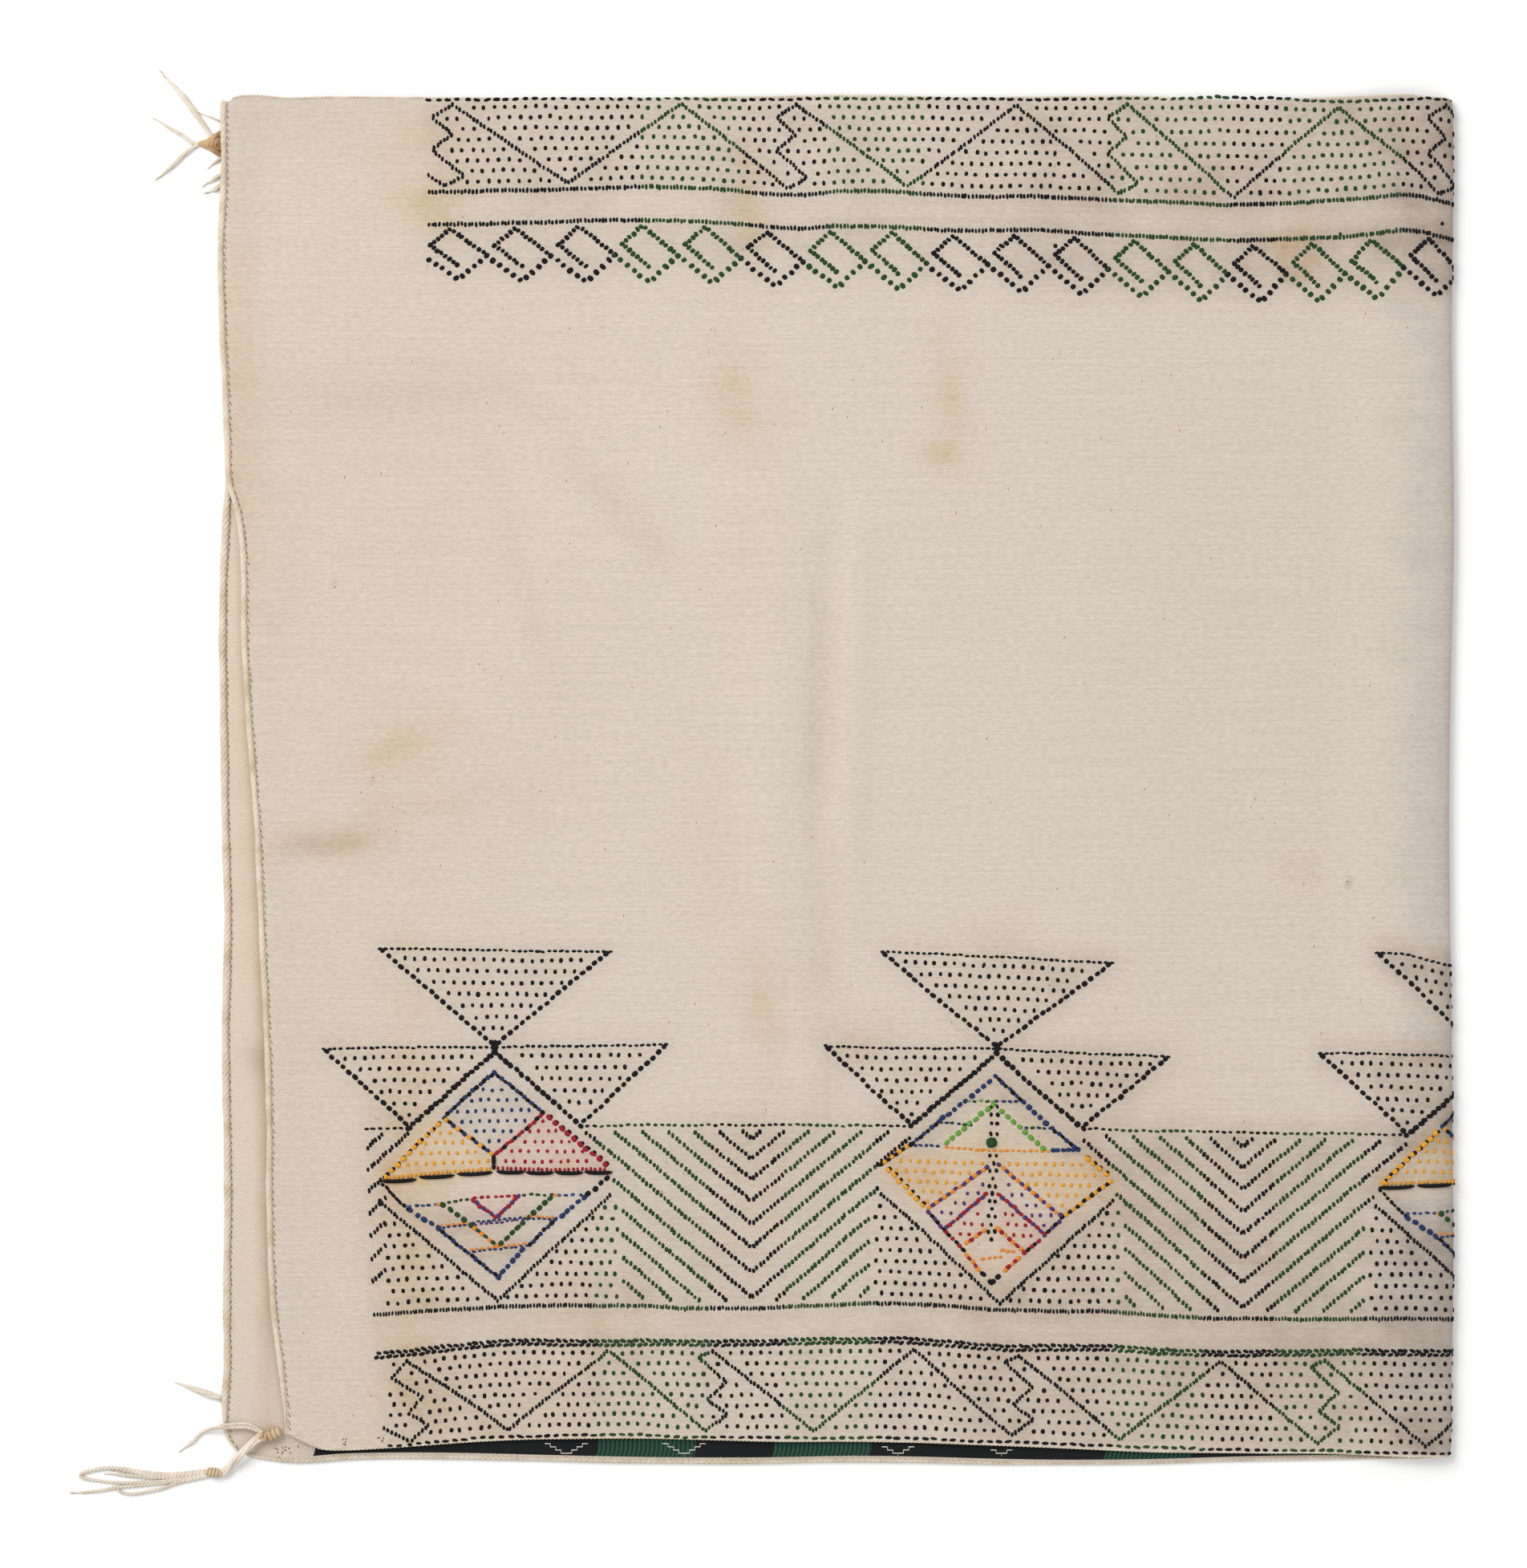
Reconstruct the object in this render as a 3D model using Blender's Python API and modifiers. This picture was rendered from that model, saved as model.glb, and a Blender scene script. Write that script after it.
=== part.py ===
# A brocaded cotton manta, folded once across its width and lying flat.
#
# Metres, +Z up, +X towards the fold and +Y towards the top border. The origin is on the underside, in the
# middle of the folded cloth. The lower layer lies on the ground at z = 0, the cloth turns up and over at
# the fold, and the upper layer comes back over it to the open end at -X. Tables of sizes are in millimetres.

import math
from collections import namedtuple

import bmesh
import bpy
from mathutils import Vector

MM = 0.001

# Driving dimensions
SHEET_THICKNESS = 2.0 * MM
CLEARANCE = 0.35 * MM
END_CORD_RADIUS = 2.3 * MM
EDGE_CORD_RADIUS = 1.6 * MM
LAYER_REST_HEIGHT = 4.7 * MM
FOLD_HEIGHT = 11.5 * MM
FOLD_NOSE_HEIGHT = 5.2 * MM
FOLD_TOP_REACH = 15.0 * MM
FOLD_UNDER_REACH = 5.5 * MM
OPEN_END_HEIGHT = 6.4 * MM
UPPER_CORD_HEIGHT = 7.2 * MM
TOP_HEIGHT = 5.8 * MM
FOLD_RISE = 80.0 * MM
TOP_RISE = 30.0 * MM
OPEN_END_RISE = 34.0 * MM
FOLDED_WIDTH = 920.0 * MM
CLOTH_SIDE_INSET = 2 * END_CORD_RADIUS + CLEARANCE
CLOTH_EDGE_INSET = 2 * EDGE_CORD_RADIUS + CLEARANCE

UPPER_COLUMNS = 40
LOWER_COLUMNS = 16
FOLD_STEPS = 10
ROWS = 26
STRAND_STEPS = 2
CORD_RESOLUTION = 2
KNOT_RESOLUTION = 1
STRAND_RESOLUTION = 0
CAP_JOIN_DISTANCE = 0.01 * MM
# How far on each side of a place a line's lean is measured
HEIGHT_STEP = 1.0
SHARE_STEP = 0.002
# The selvedge cords start this many columns in from the open end, clear of the end cords
CORD_START = 1

# Where the cloth's outline turns a corner, rows and columns stand closer, at these shares of the whole
CORNER_SHARES = (0.0, 0.006, 0.014, 0.028)

# The outer line of both end cords and of the fold, at heights up the cloth
SideRow = namedtuple("SideRow", "height upper lower fold")
SIDES = (
    SideRow(-512, -414.0, -443.0, 449.0),
    SideRow(-506, -414.2, -447.6, 456.5),
    SideRow(-500, -414.5, -454.0, 458.8),
    SideRow(-491, -414.6, -459.0, 459.2),
    SideRow(-470, -415.0, -460.6, 459.6),
    SideRow(-438, -418.8, -459.2, 459.8),
    SideRow(-388, -424.6, -459.6, 460.8),
    SideRow(-312, -427.0, -458.4, 460.8),
    SideRow(-261, -427.2, -459.6, 460.2),
    SideRow(-186, -429.0, -460.2, 459.6),
    SideRow(-106, -433.2, -458.8, 458.4),
    SideRow(-32, -436.2, -460.4, 457.8),
    SideRow(41, -442.2, -461.8, 458.4),
    SideRow(115, -445.8, -462.4, 460.0),
    SideRow(164, -446.4, -461.6, 461.2),
    SideRow(200, -450.6, -459.8, 461.4),
    SideRow(224, -457.2, -457.6, 461.2),
    SideRow(260, -458.4, -455.4, 460.6),
    SideRow(296, -460.2, -455.2, 460.0),
    SideRow(332, -462.0, -456.4, 459.6),
    SideRow(404, -463.2, -457.6, 460.4),
    SideRow(440, -461.4, -456.6, 460.8),
    SideRow(500, -461.4, -455.6, 460.4),
    SideRow(507, -460.6, -454.2, 458.6),
    SideRow(513, -457.0, -450.0, 453.0),
)

# The outer line of the top and bottom edges of both layers, at shares of the way from open end to fold
EdgeRow = namedtuple("EdgeRow", "share upper_top upper_bottom lower_top lower_bottom")
EDGES = (
    EdgeRow(0.000, 508.6, -490.6, 503.0, -503.5),
    EdgeRow(0.006, 511.6, -491.6, 506.4, -507.4),
    EdgeRow(0.016, 512.6, -496.0, 507.6, -509.4),
    EdgeRow(0.030, 512.0, -500.8, 507.6, -511.2),
    EdgeRow(0.050, 510.4, -501.8, 506.4, -511.4),
    EdgeRow(0.090, 511.4, -500.1, 507.0, -509.0),
    EdgeRow(0.165, 510.8, -495.4, 506.6, -508.6),
    EdgeRow(0.255, 510.6, -492.9, 506.6, -510.4),
    EdgeRow(0.345, 510.6, -493.5, 506.8, -512.0),
    EdgeRow(0.430, 511.4, -495.2, 507.4, -512.2),
    EdgeRow(0.515, 512.6, -495.4, 508.4, -511.0),
    EdgeRow(0.630, 510.9, -498.4, 507.0, -512.6),
    EdgeRow(0.750, 512.0, -502.8, 508.0, -512.4),
    EdgeRow(0.845, 508.6, -504.0, 505.4, -510.0),
    EdgeRow(0.900, 510.2, -504.0, 507.0, -509.2),
    EdgeRow(0.950, 512.0, -505.2, 509.0, -508.4),
    EdgeRow(0.985, 512.6, -506.2, 510.6, -507.9),
    EdgeRow(1.000, 510.8, -506.0, 509.6, -507.0),
)

# Soft ridges and troughs of the upper layer. A crease lies along its angle, measured from +X.
Crease = namedtuple("Crease", "x y angle half_length half_width rise")
CREASES = (
    Crease(-52, 20, 90, 230, 26, 0.9),
    Crease(-9, 20, 88, 170, 17, -1.1),
    Crease(-18, -210, 78, 60, 16, 1.0),
    Crease(-168, 168, -47, 60, 17, -0.7),
    Crease(-250, 60, 74, 210, 60, 0.6),
    Crease(-420, 160, 84, 42, 14, 1.0),
    Crease(-400, -36, 8, 52, 16, 0.9),
    Crease(-192, -405, 86, 90, 18, 1.3),
    Crease(98, -420, 84, 80, 20, 1.2),
    Crease(-40, -470, 96, 42, 22, 1.0),
    Crease(250, -440, 88, 60, 26, 0.8),
    Crease(190, 130, 94, 260, 60, 0.5),
    Crease(-96, 440, 92, 70, 24, 0.9),
    Crease(135, 430, 86, 80, 26, 1.0),
    Crease(330, 455, 94, 60, 24, -0.6),
)

# Places along the middle line of a knot or strand, with its radius there
Spot = namedtuple("Spot", "x y z radius")


def grounded(x, y, radius):
    """A place where a strand rests on the ground."""
    return Spot(x, y, radius, radius)


# The tassel at the top: a strip tucked along the end cords, a knot, and loose untwisted strands
TOP_STRIP = (
    grounded(-458.7, 496.0, 1.0),
    grounded(-458.9, 484.0, 1.3),
    grounded(-459.2, 462.0, 1.4),
    grounded(-459.0, 440.5, 1.1),
)
TOP_KNOT = (
    grounded(-460.2, 475.6, 1.6),
    grounded(-463.8, 475.8, 2.5),
    grounded(-468.0, 476.2, 3.0),
    grounded(-473.0, 476.4, 2.0),
    grounded(-478.6, 476.3, 1.2),
)
TOP_STRANDS = (
    (
        grounded(-460.6, 483.0, 1.4),
        grounded(-464.6, 481.6, 2.2),
        grounded(-470.0, 478.6, 2.0),
        grounded(-475.0, 476.8, 1.3),
    ),
    (
        grounded(-460.6, 469.4, 1.4),
        grounded(-464.4, 470.6, 2.1),
        grounded(-469.6, 473.6, 2.0),
        grounded(-475.0, 475.8, 1.3),
    ),
    (
        grounded(-467.0, 478.5, 1.6),
        grounded(-475.2, 491.4, 1.8),
        grounded(-482.8, 501.7, 2.2),
        grounded(-489.7, 511.4, 2.2),
        grounded(-497.2, 519.7, 1.7),
        grounded(-505.9, 529.3, 0.3),
    ),
    (
        grounded(-476.5, 476.2, 1.1),
        grounded(-483.5, 477.5, 1.5),
        grounded(-489.7, 482.1, 1.6),
        grounded(-497.2, 486.6, 1.4),
        grounded(-511.0, 494.9, 0.3),
    ),
    (
        grounded(-476.7, 476.6, 1.1),
        grounded(-484.9, 472.1, 1.6),
        grounded(-491.8, 465.9, 1.6),
        grounded(-500.5, 457.6, 1.4),
        grounded(-508.3, 451.1, 0.3),
    ),
    (
        grounded(-459.4, 492.4, 0.8),
        grounded(-467.9, 495.6, 0.7),
        grounded(-475.9, 498.7, 0.3),
    ),
    (
        grounded(-459.4, 467.4, 1.2),
        grounded(-464.8, 463.4, 1.1),
        grounded(-469.3, 459.7, 0.3),
    ),
    (
        grounded(-459.4, 454.0, 1.2),
        grounded(-467.0, 450.2, 1.4),
        grounded(-473.2, 445.6, 0.3),
    ),
    (
        grounded(-459.6, 446.8, 1.4),
        grounded(-465.0, 443.0, 1.8),
        grounded(-470.6, 440.4, 0.4),
    ),
)

# The tassel at the upper layer's bottom corner: a wrapped knot on the lower layer, strands that pass over
# the lower layer's corner to a second wrapping on the ground, and plied cords that fan out from it
CORNER_KNOT = (
    Spot(-416.6, -485.6, 6.5, 2.0),
    Spot(-418.8, -487.2, 6.5, 3.6),
    Spot(-422.6, -489.2, 6.4, 3.9),
    Spot(-426.6, -491.2, 6.3, 3.6),
    Spot(-431.2, -490.4, 6.4, 2.9),
    Spot(-434.4, -489.4, 6.5, 1.6),
)
SECOND_WRAPPING = (
    grounded(-460.8, -519.2, 2.2),
    grounded(-463.4, -518.8, 3.9),
    grounded(-467.2, -518.2, 4.2),
    grounded(-471.2, -517.8, 3.7),
    grounded(-473.6, -517.6, 2.2),
)
CORNER_STRANDS = (
    (
        Spot(-428.6, -491.6, 6.8, 1.6),
        Spot(-435.8, -494.4, 6.9, 1.9),
        Spot(-444.4, -503.0, 7.0, 2.0),
        Spot(-452.2, -510.6, 4.8, 2.0),
        grounded(-458.6, -519.0, 2.0),
        grounded(-463.8, -519.6, 1.8),
    ),
    (
        Spot(-427.8, -490.6, 6.8, 1.5),
        Spot(-434.2, -491.4, 6.9, 1.7),
        Spot(-442.0, -499.8, 7.0, 1.8),
        Spot(-449.8, -507.6, 5.6, 1.8),
        Spot(-456.0, -515.6, 2.8, 1.8),
        grounded(-463.8, -517.6, 1.8),
    ),
    (
        Spot(-429.8, -488.4, 6.6, 1.1),
        Spot(-440.0, -484.4, 6.3, 1.2),
        Spot(-450.0, -484.0, 6.3, 1.2),
        Spot(-459.6, -484.6, 6.3, 1.2),
        Spot(-468.4, -485.6, 4.2, 1.2),
        grounded(-476.6, -489.2, 1.2),
        grounded(-482.8, -495.6, 1.2),
        grounded(-490.2, -501.3, 0.3),
    ),
    (
        Spot(-429.4, -487.6, 6.6, 1.0),
        Spot(-440.0, -481.8, 6.3, 1.0),
        Spot(-450.0, -481.4, 6.3, 1.0),
        Spot(-459.0, -482.4, 6.3, 0.6),
    ),
    (
        grounded(-468.0, -516.4, 1.2),
        grounded(-495.0, -519.6, 1.2),
        grounded(-513.2, -519.0, 1.3),
        grounded(-540.7, -515.2, 1.4),
        grounded(-553.7, -515.9, 1.4),
        grounded(-564.1, -518.5, 1.3),
        grounded(-567.0, -520.9, 1.3),
        grounded(-562.8, -523.1, 1.2),
        grounded(-552.4, -524.7, 1.1),
        grounded(-538.0, -526.2, 1.1),
        grounded(-518.0, -526.0, 1.2),
        grounded(-492.0, -523.4, 1.2),
        grounded(-468.0, -519.8, 1.2),
    ),
    (
        grounded(-468.0, -518.2, 1.2),
        grounded(-492.0, -521.6, 1.2),
        grounded(-512.0, -522.2, 1.2),
        grounded(-530.4, -520.6, 1.4),
        grounded(-545.9, -519.8, 0.4),
    ),
    (
        grounded(-468.0, -519.8, 1.2),
        grounded(-500.4, -525.6, 1.2),
        grounded(-522.0, -528.0, 1.2),
        grounded(-538.1, -529.6, 1.2),
        grounded(-552.4, -532.1, 1.1),
        grounded(-562.8, -533.5, 0.8),
        grounded(-571.2, -533.9, 0.3),
    ),
    (
        grounded(-468.0, -520.6, 1.2),
        grounded(-494.0, -526.2, 1.2),
        grounded(-505.0, -530.4, 1.1),
        grounded(-513.3, -532.2, 1.1),
        grounded(-523.8, -534.2, 1.1),
        grounded(-531.6, -534.4, 1.1),
        grounded(-537.6, -532.6, 1.1),
        grounded(-539.0, -530.0, 0.9),
    ),
)

# The single strand that comes out beside the lower layer's end cord
LOWER_END_STRAND = (
    grounded(-463.6, -461.9, 2.1),
    grounded(-470.4, -459.8, 1.9),
    grounded(-478.2, -457.0, 1.5),
    grounded(-485.4, -454.4, 1.1),
    grounded(-493.2, -451.9, 0.3),
)

PALE_COTTON = (0.74, 0.68, 0.58)
CORD_COTTON = (0.66, 0.58, 0.47)

collection = None
helpers = None


def clear_scene():
    for item in list(bpy.data.objects):
        bpy.data.objects.remove(item)


def start_collection(name):
    made = bpy.data.collections.new(name)
    bpy.context.scene.collection.children.link(made)
    return made


def make_material(name, color, roughness=0.9):
    material = bpy.data.materials.new(name)
    material.use_nodes = True
    shader = material.node_tree.nodes["Principled BSDF"]
    shader.inputs["Base Color"].default_value = (*color, 1.0)
    shader.inputs["Roughness"].default_value = roughness
    shader.inputs["Metallic"].default_value = 0.0
    return material


def place(name, data, material):
    item = bpy.data.objects.new(name, data)
    item.data.materials.append(material)
    collection.objects.link(item)
    return item


def smooth_read(rows, at, key, value):
    """Reads a column of a table on a smooth curve through its rows."""
    places = [getattr(row, key) for row in rows]
    sizes = [getattr(row, value) for row in rows]
    if at <= places[0]:
        return sizes[0] * MM
    if at >= places[-1]:
        return sizes[-1] * MM
    i = max(n for n, spot in enumerate(places) if spot <= at)
    span = places[i + 1] - places[i]
    t = (at - places[i]) / span

    def slope(n):
        if n == 0 or n == len(rows) - 1:
            return 0.0
        return (sizes[n + 1] - sizes[n - 1]) / (places[n + 1] - places[n - 1]) * span

    a, b = sizes[i], sizes[i + 1]
    start, end = slope(i), slope(i + 1)
    curved = (
        (2 * t**3 - 3 * t**2 + 1) * a
        + (t**3 - 2 * t**2 + t) * start
        + (3 * t**2 - 2 * t**3) * b
        + (t**3 - t**2) * end
    )
    return curved * MM


def side_at(height, column, inset=0.0):
    """X of an end cord's outer line, or of the fold, at a height up the cloth, moved in by an inset."""
    moves = (-HEIGHT_STEP, 0.0, HEIGHT_STEP)
    line = [smooth_read(SIDES, height / MM + move, "height", column) for move in moves]
    lean = (line[2] - line[0]) / (2 * HEIGHT_STEP * MM)
    return line[1] + inset * math.sqrt(1 + lean * lean)


def edge_at(share, column, inset=0.0):
    """Y of the top or bottom edge's outer line at a share of the way to the fold, moved by an inset."""
    moves = (-SHARE_STEP, 0.0, SHARE_STEP)
    line = [smooth_read(EDGES, share + move, "share", column) for move in moves]
    lean = (line[2] - line[0]) / (2 * SHARE_STEP * FOLDED_WIDTH)
    return line[1] + inset * math.sqrt(1 + lean * lean)


def ease(t):
    t = min(max(t, 0.0), 1.0)
    return t * t * (3 - 2 * t)


def upper_height(x, y, open_end, fold, top):
    """Height of the upper layer's middle surface, which rises over the cords that lie under its edges."""
    rise = 0.0
    for crease in CREASES:
        angle = math.radians(crease.angle)
        dx = x - crease.x * MM
        dy = y - crease.y * MM
        along = (dx * math.cos(angle) + dy * math.sin(angle)) / (crease.half_length * MM)
        across = (dy * math.cos(angle) - dx * math.sin(angle)) / (crease.half_width * MM)
        rise += crease.rise * MM * math.exp(-(along**4) - across**2)
    near_fold = 1 - ease((fold - x) / FOLD_RISE)
    near_open = 1 - ease((x - open_end) / OPEN_END_RISE)
    near_top = 1 - ease((top - y) / TOP_RISE)
    lifts = (
        (FOLD_HEIGHT - LAYER_REST_HEIGHT) * near_fold,
        (OPEN_END_HEIGHT - LAYER_REST_HEIGHT) * near_open,
        (TOP_HEIGHT - LAYER_REST_HEIGHT) * near_top,
    )
    calm = 1 - max(near_fold, near_open, near_top)
    return LAYER_REST_HEIGHT + rise * calm + max(lifts)


def layer_point(share, height_share, layer):
    """A point of the upper or lower layer's middle surface, from its open end (share 0) to the fold (1)."""
    reach = FOLD_UNDER_REACH if layer == "lower" else FOLD_TOP_REACH
    bottom = edge_at(share, layer + "_bottom", CLOTH_EDGE_INSET)
    top = edge_at(share, layer + "_top", -CLOTH_EDGE_INSET)
    y = bottom + (top - bottom) * height_share
    left = side_at(y, layer, CLOTH_SIDE_INSET)
    right = side_at(y, "fold") - SHEET_THICKNESS / 2 - reach
    x = left + (right - left) * share
    if layer == "lower":
        return Vector((x, y, SHEET_THICKNESS / 2))
    return Vector((x, y, upper_height(x, y, left, right, top)))


def fold_turn(upper, lower, turn):
    """A point on the fold, from the upper layer (turn 0) round its nose to the lower layer (turn 1)."""
    angle = math.pi * turn
    start, reach = (upper, FOLD_TOP_REACH) if turn < 0.5 else (lower, FOLD_UNDER_REACH)
    return Vector(
        (
            start.x + reach * math.sin(angle),
            upper.y + (lower.y - upper.y) * turn,
            FOLD_NOSE_HEIGHT + abs(start.z - FOLD_NOSE_HEIGHT) * math.cos(angle),
        )
    )


def spaced_shares(steps):
    """Even shares from 0 to 1, with the closer ones of the corners at both ends."""
    even = [n / steps for n in range(1, steps) if CORNER_SHARES[-1] < n / steps < 1 - CORNER_SHARES[-1]]
    return [*CORNER_SHARES, *even, *[1 - share for share in reversed(CORNER_SHARES)]]


def cloth_rows():
    """Rows of points, bottom to top, from the upper layer's open end round the fold to the lower's."""
    upper = spaced_shares(UPPER_COLUMNS)
    lower = spaced_shares(LOWER_COLUMNS)
    turns = [n / FOLD_STEPS for n in range(1, FOLD_STEPS)]
    rows = []
    for height_share in spaced_shares(ROWS):
        over = [layer_point(share, height_share, "upper") for share in upper]
        under = [layer_point(share, height_share, "lower") for share in reversed(lower)]
        rows.append([*over, *[fold_turn(over[-1], under[0], turn) for turn in turns], *under])
    return rows


def make_cloth(rows):
    """The woven cloth: a grid laid along the upper layer, round the fold and back along the lower layer."""
    bm = bmesh.new()
    bmesh.ops.create_grid(bm, x_segments=len(rows[0]) - 1, y_segments=len(rows) - 1, size=1.0)
    for vert in bm.verts:
        column = round((vert.co.x + 1) / 2 * (len(rows[0]) - 1))
        row = round((vert.co.y + 1) / 2 * (len(rows) - 1))
        vert.co = rows[row][column]
    mesh = bpy.data.meshes.new("manta_cloth")
    bm.to_mesh(mesh)
    bm.free()
    mesh.shade_smooth()
    cloth = place("manta_cloth", mesh, make_material("cotton_cloth", PALE_COTTON))
    shell = cloth.modifiers.new("cloth_thickness", "SOLIDIFY")
    shell.thickness = SHEET_THICKNESS
    shell.offset = 0.0
    shell.use_even_offset = True


def make_tube(name, points, radius, material, resolution=CORD_RESOLUTION, radii=None):
    """A cord or strand along points, with closed ends."""
    curve = bpy.data.curves.new(name, "CURVE")
    curve.dimensions = "3D"
    curve.bevel_depth = radius
    curve.bevel_resolution = resolution
    curve.use_fill_caps = True
    spline = curve.splines.new("POLY")
    spline.points.add(len(points) - 1)
    for i, point in enumerate(points):
        spline.points[i].co = (*point, 1.0)
        spline.points[i].radius = 1.0 if radii is None else radii[i] / radius
    return place(name, curve, material)


def beside(line, distance, outward):
    """A line that runs beside another in plan, on the side that outward points to."""
    moved = []
    for i, point in enumerate(line):
        ahead = (line[min(i + 1, len(line) - 1)] - point).xy
        behind = (point - line[max(i - 1, 0)]).xy
        ways = [way.normalized() for way in (ahead, behind) if way.length > MM]
        if not ways:
            moved.append(point + outward * distance)
            continue
        normals = [Vector((-way.y, way.x)) for way in ways]
        normals = [normal if normal.dot(outward.xy) > 0 else -normal for normal in normals]
        middle = sum(normals, Vector((0, 0))).normalized()
        moved.append(point + (middle * distance / middle.dot(normals[0])).to_3d())
    return moved


def make_end_cord(name, cloth_line, height):
    """The cord stitched along a layer's open end."""
    points = beside(cloth_line, END_CORD_RADIUS + CLEARANCE, Vector((-1, 0, 0)))
    for point in points:
        point.z = height
    make_tube(name, points, END_CORD_RADIUS, make_material(name + "_cotton", CORD_COTTON))


def make_edge_cord(name, cloth_line, outward):
    """A selvedge cord along the upper layer's edge, round the fold and back along the lower layer's."""
    upper_count = len(spaced_shares(UPPER_COLUMNS))
    lower_count = len(spaced_shares(LOWER_COLUMNS))
    distance = EDGE_CORD_RADIUS + CLEARANCE
    upper = beside(cloth_line[:upper_count], distance, outward)
    lower = beside(cloth_line[-lower_count:], distance, outward)
    for point in lower:
        point.z = EDGE_CORD_RADIUS
    turn = [fold_turn(upper[-1], lower[0], n / FOLD_STEPS) for n in range(1, FOLD_STEPS)]
    points = [*upper[CORD_START:], *turn, *lower[:-CORD_START]]
    make_tube(name, points, EDGE_CORD_RADIUS, make_material(name + "_cotton", CORD_COTTON))


def curved_between(before, start, end, after, t):
    """A size on the smooth curve through four, at a share t of the way from the second to the third."""
    slope = end - before
    bend = 2 * before - 5 * start + 4 * end - after
    twist = 3 * (start - end) + after - before
    return start + 0.5 * (slope * t + bend * t**2 + twist * t**3)


def smooth_route(spots):
    """Spots on a smooth curve through the given ones, in metres."""
    padded = (spots[0], *spots, spots[-1])
    route = []
    for four in zip(padded, padded[1:], padded[2:], padded[3:]):
        for step in range(STRAND_STEPS):
            sizes = [MM * curved_between(*column, step / STRAND_STEPS) for column in zip(*four)]
            route.append(Spot(*sizes))
    route.append(Spot(*[MM * size for size in spots[-1]]))
    return route


def make_strand(name, spots, material, resolution):
    route = smooth_route(spots)
    radius = max(spot.radius for spot in route)
    points = [Vector((spot.x, spot.y, max(spot.z, spot.radius))) for spot in route]
    tube = make_tube(name, points, radius, material, resolution, [spot.radius for spot in route])
    tube.data.twist_mode = "Z_UP"
    return tube


def as_mesh(tube):
    """Turns a tube into a mesh with its end caps joined on, so that it can be united with others."""
    graph = bpy.context.evaluated_depsgraph_get()
    mesh = bpy.data.meshes.new_from_object(tube.evaluated_get(graph))
    bm = bmesh.new()
    bm.from_mesh(mesh)
    bmesh.ops.remove_doubles(bm, verts=bm.verts, dist=CAP_JOIN_DISTANCE)
    bm.to_mesh(mesh)
    bm.free()
    name = tube.name
    solid = bpy.data.objects.new(name, mesh)
    solid.matrix_world = tube.matrix_world
    collection.objects.link(solid)
    bpy.data.objects.remove(tube)
    solid.name = name
    return solid


def make_tassel(name, backing, strands):
    """A knot or strip, with the roots of the other knots and strands joined into it."""
    material = make_material(name + "_cotton", PALE_COTTON)
    tassel = as_mesh(make_strand(name, backing, material, KNOT_RESOLUTION))
    for n, spots in enumerate(strands):
        strand = as_mesh(make_strand(f"{name}_strand_{n}", spots, material, STRAND_RESOLUTION))
        helpers.objects.link(strand)
        collection.objects.unlink(strand)
        strand.hide_render = True
        strand.display_type = "WIRE"
        union = tassel.modifiers.new(f"join_strand_{n}", "BOOLEAN")
        union.operation = "UNION"
        union.object = strand
    return tassel


def main():
    global collection, helpers
    clear_scene()
    collection = start_collection("brocaded_manta")
    helpers = start_collection("strands_to_join")
    rows = cloth_rows()
    make_cloth(rows)
    make_end_cord("end_cord_upper", [row[0] for row in rows], UPPER_CORD_HEIGHT)
    make_end_cord("end_cord_lower", [row[-1] for row in rows], END_CORD_RADIUS)
    make_edge_cord("top_edge_cord", rows[-1], Vector((0, 1, 0)))
    make_edge_cord("bottom_edge_cord", rows[0], Vector((0, -1, 0)))
    make_tassel("tassel_top", TOP_STRIP, (TOP_KNOT, *TOP_STRANDS))
    make_tassel("tassel_bottom", CORNER_KNOT, (SECOND_WRAPPING, *CORNER_STRANDS))
    make_tassel("tassel_lower_end", LOWER_END_STRAND, ())


main()
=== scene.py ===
import math

import bpy
import numpy as np
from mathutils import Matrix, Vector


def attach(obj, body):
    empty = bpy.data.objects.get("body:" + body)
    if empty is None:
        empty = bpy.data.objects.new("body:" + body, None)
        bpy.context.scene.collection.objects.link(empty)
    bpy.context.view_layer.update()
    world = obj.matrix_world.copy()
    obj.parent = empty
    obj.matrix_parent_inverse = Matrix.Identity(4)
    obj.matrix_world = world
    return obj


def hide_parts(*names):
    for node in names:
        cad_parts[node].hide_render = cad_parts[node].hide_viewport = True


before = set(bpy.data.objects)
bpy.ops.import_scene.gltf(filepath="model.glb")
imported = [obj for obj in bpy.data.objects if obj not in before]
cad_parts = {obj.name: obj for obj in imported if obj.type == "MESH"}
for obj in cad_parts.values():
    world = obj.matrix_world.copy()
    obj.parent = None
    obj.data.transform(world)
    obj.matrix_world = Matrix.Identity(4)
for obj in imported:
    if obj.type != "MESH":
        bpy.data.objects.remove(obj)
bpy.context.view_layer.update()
for item in bpy.context.selected_objects:
    item.select_set(False)
print("packed frame loaded:", ", ".join(sorted(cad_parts)))

mm = 0.001  # the tables below are in millimetres
dice = np.random.default_rng(23)


def colour(red, green, blue):  # screen values from 0 to 255, made linear for a shader
    values = np.array((red, green, blue)) / 255
    linear = np.where(values <= 0.04045, values / 12.92, ((values + 0.055) / 1.055) ** 2.4)
    return (*linear.tolist(), 1.0)


# How the folded cloth lies

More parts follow.
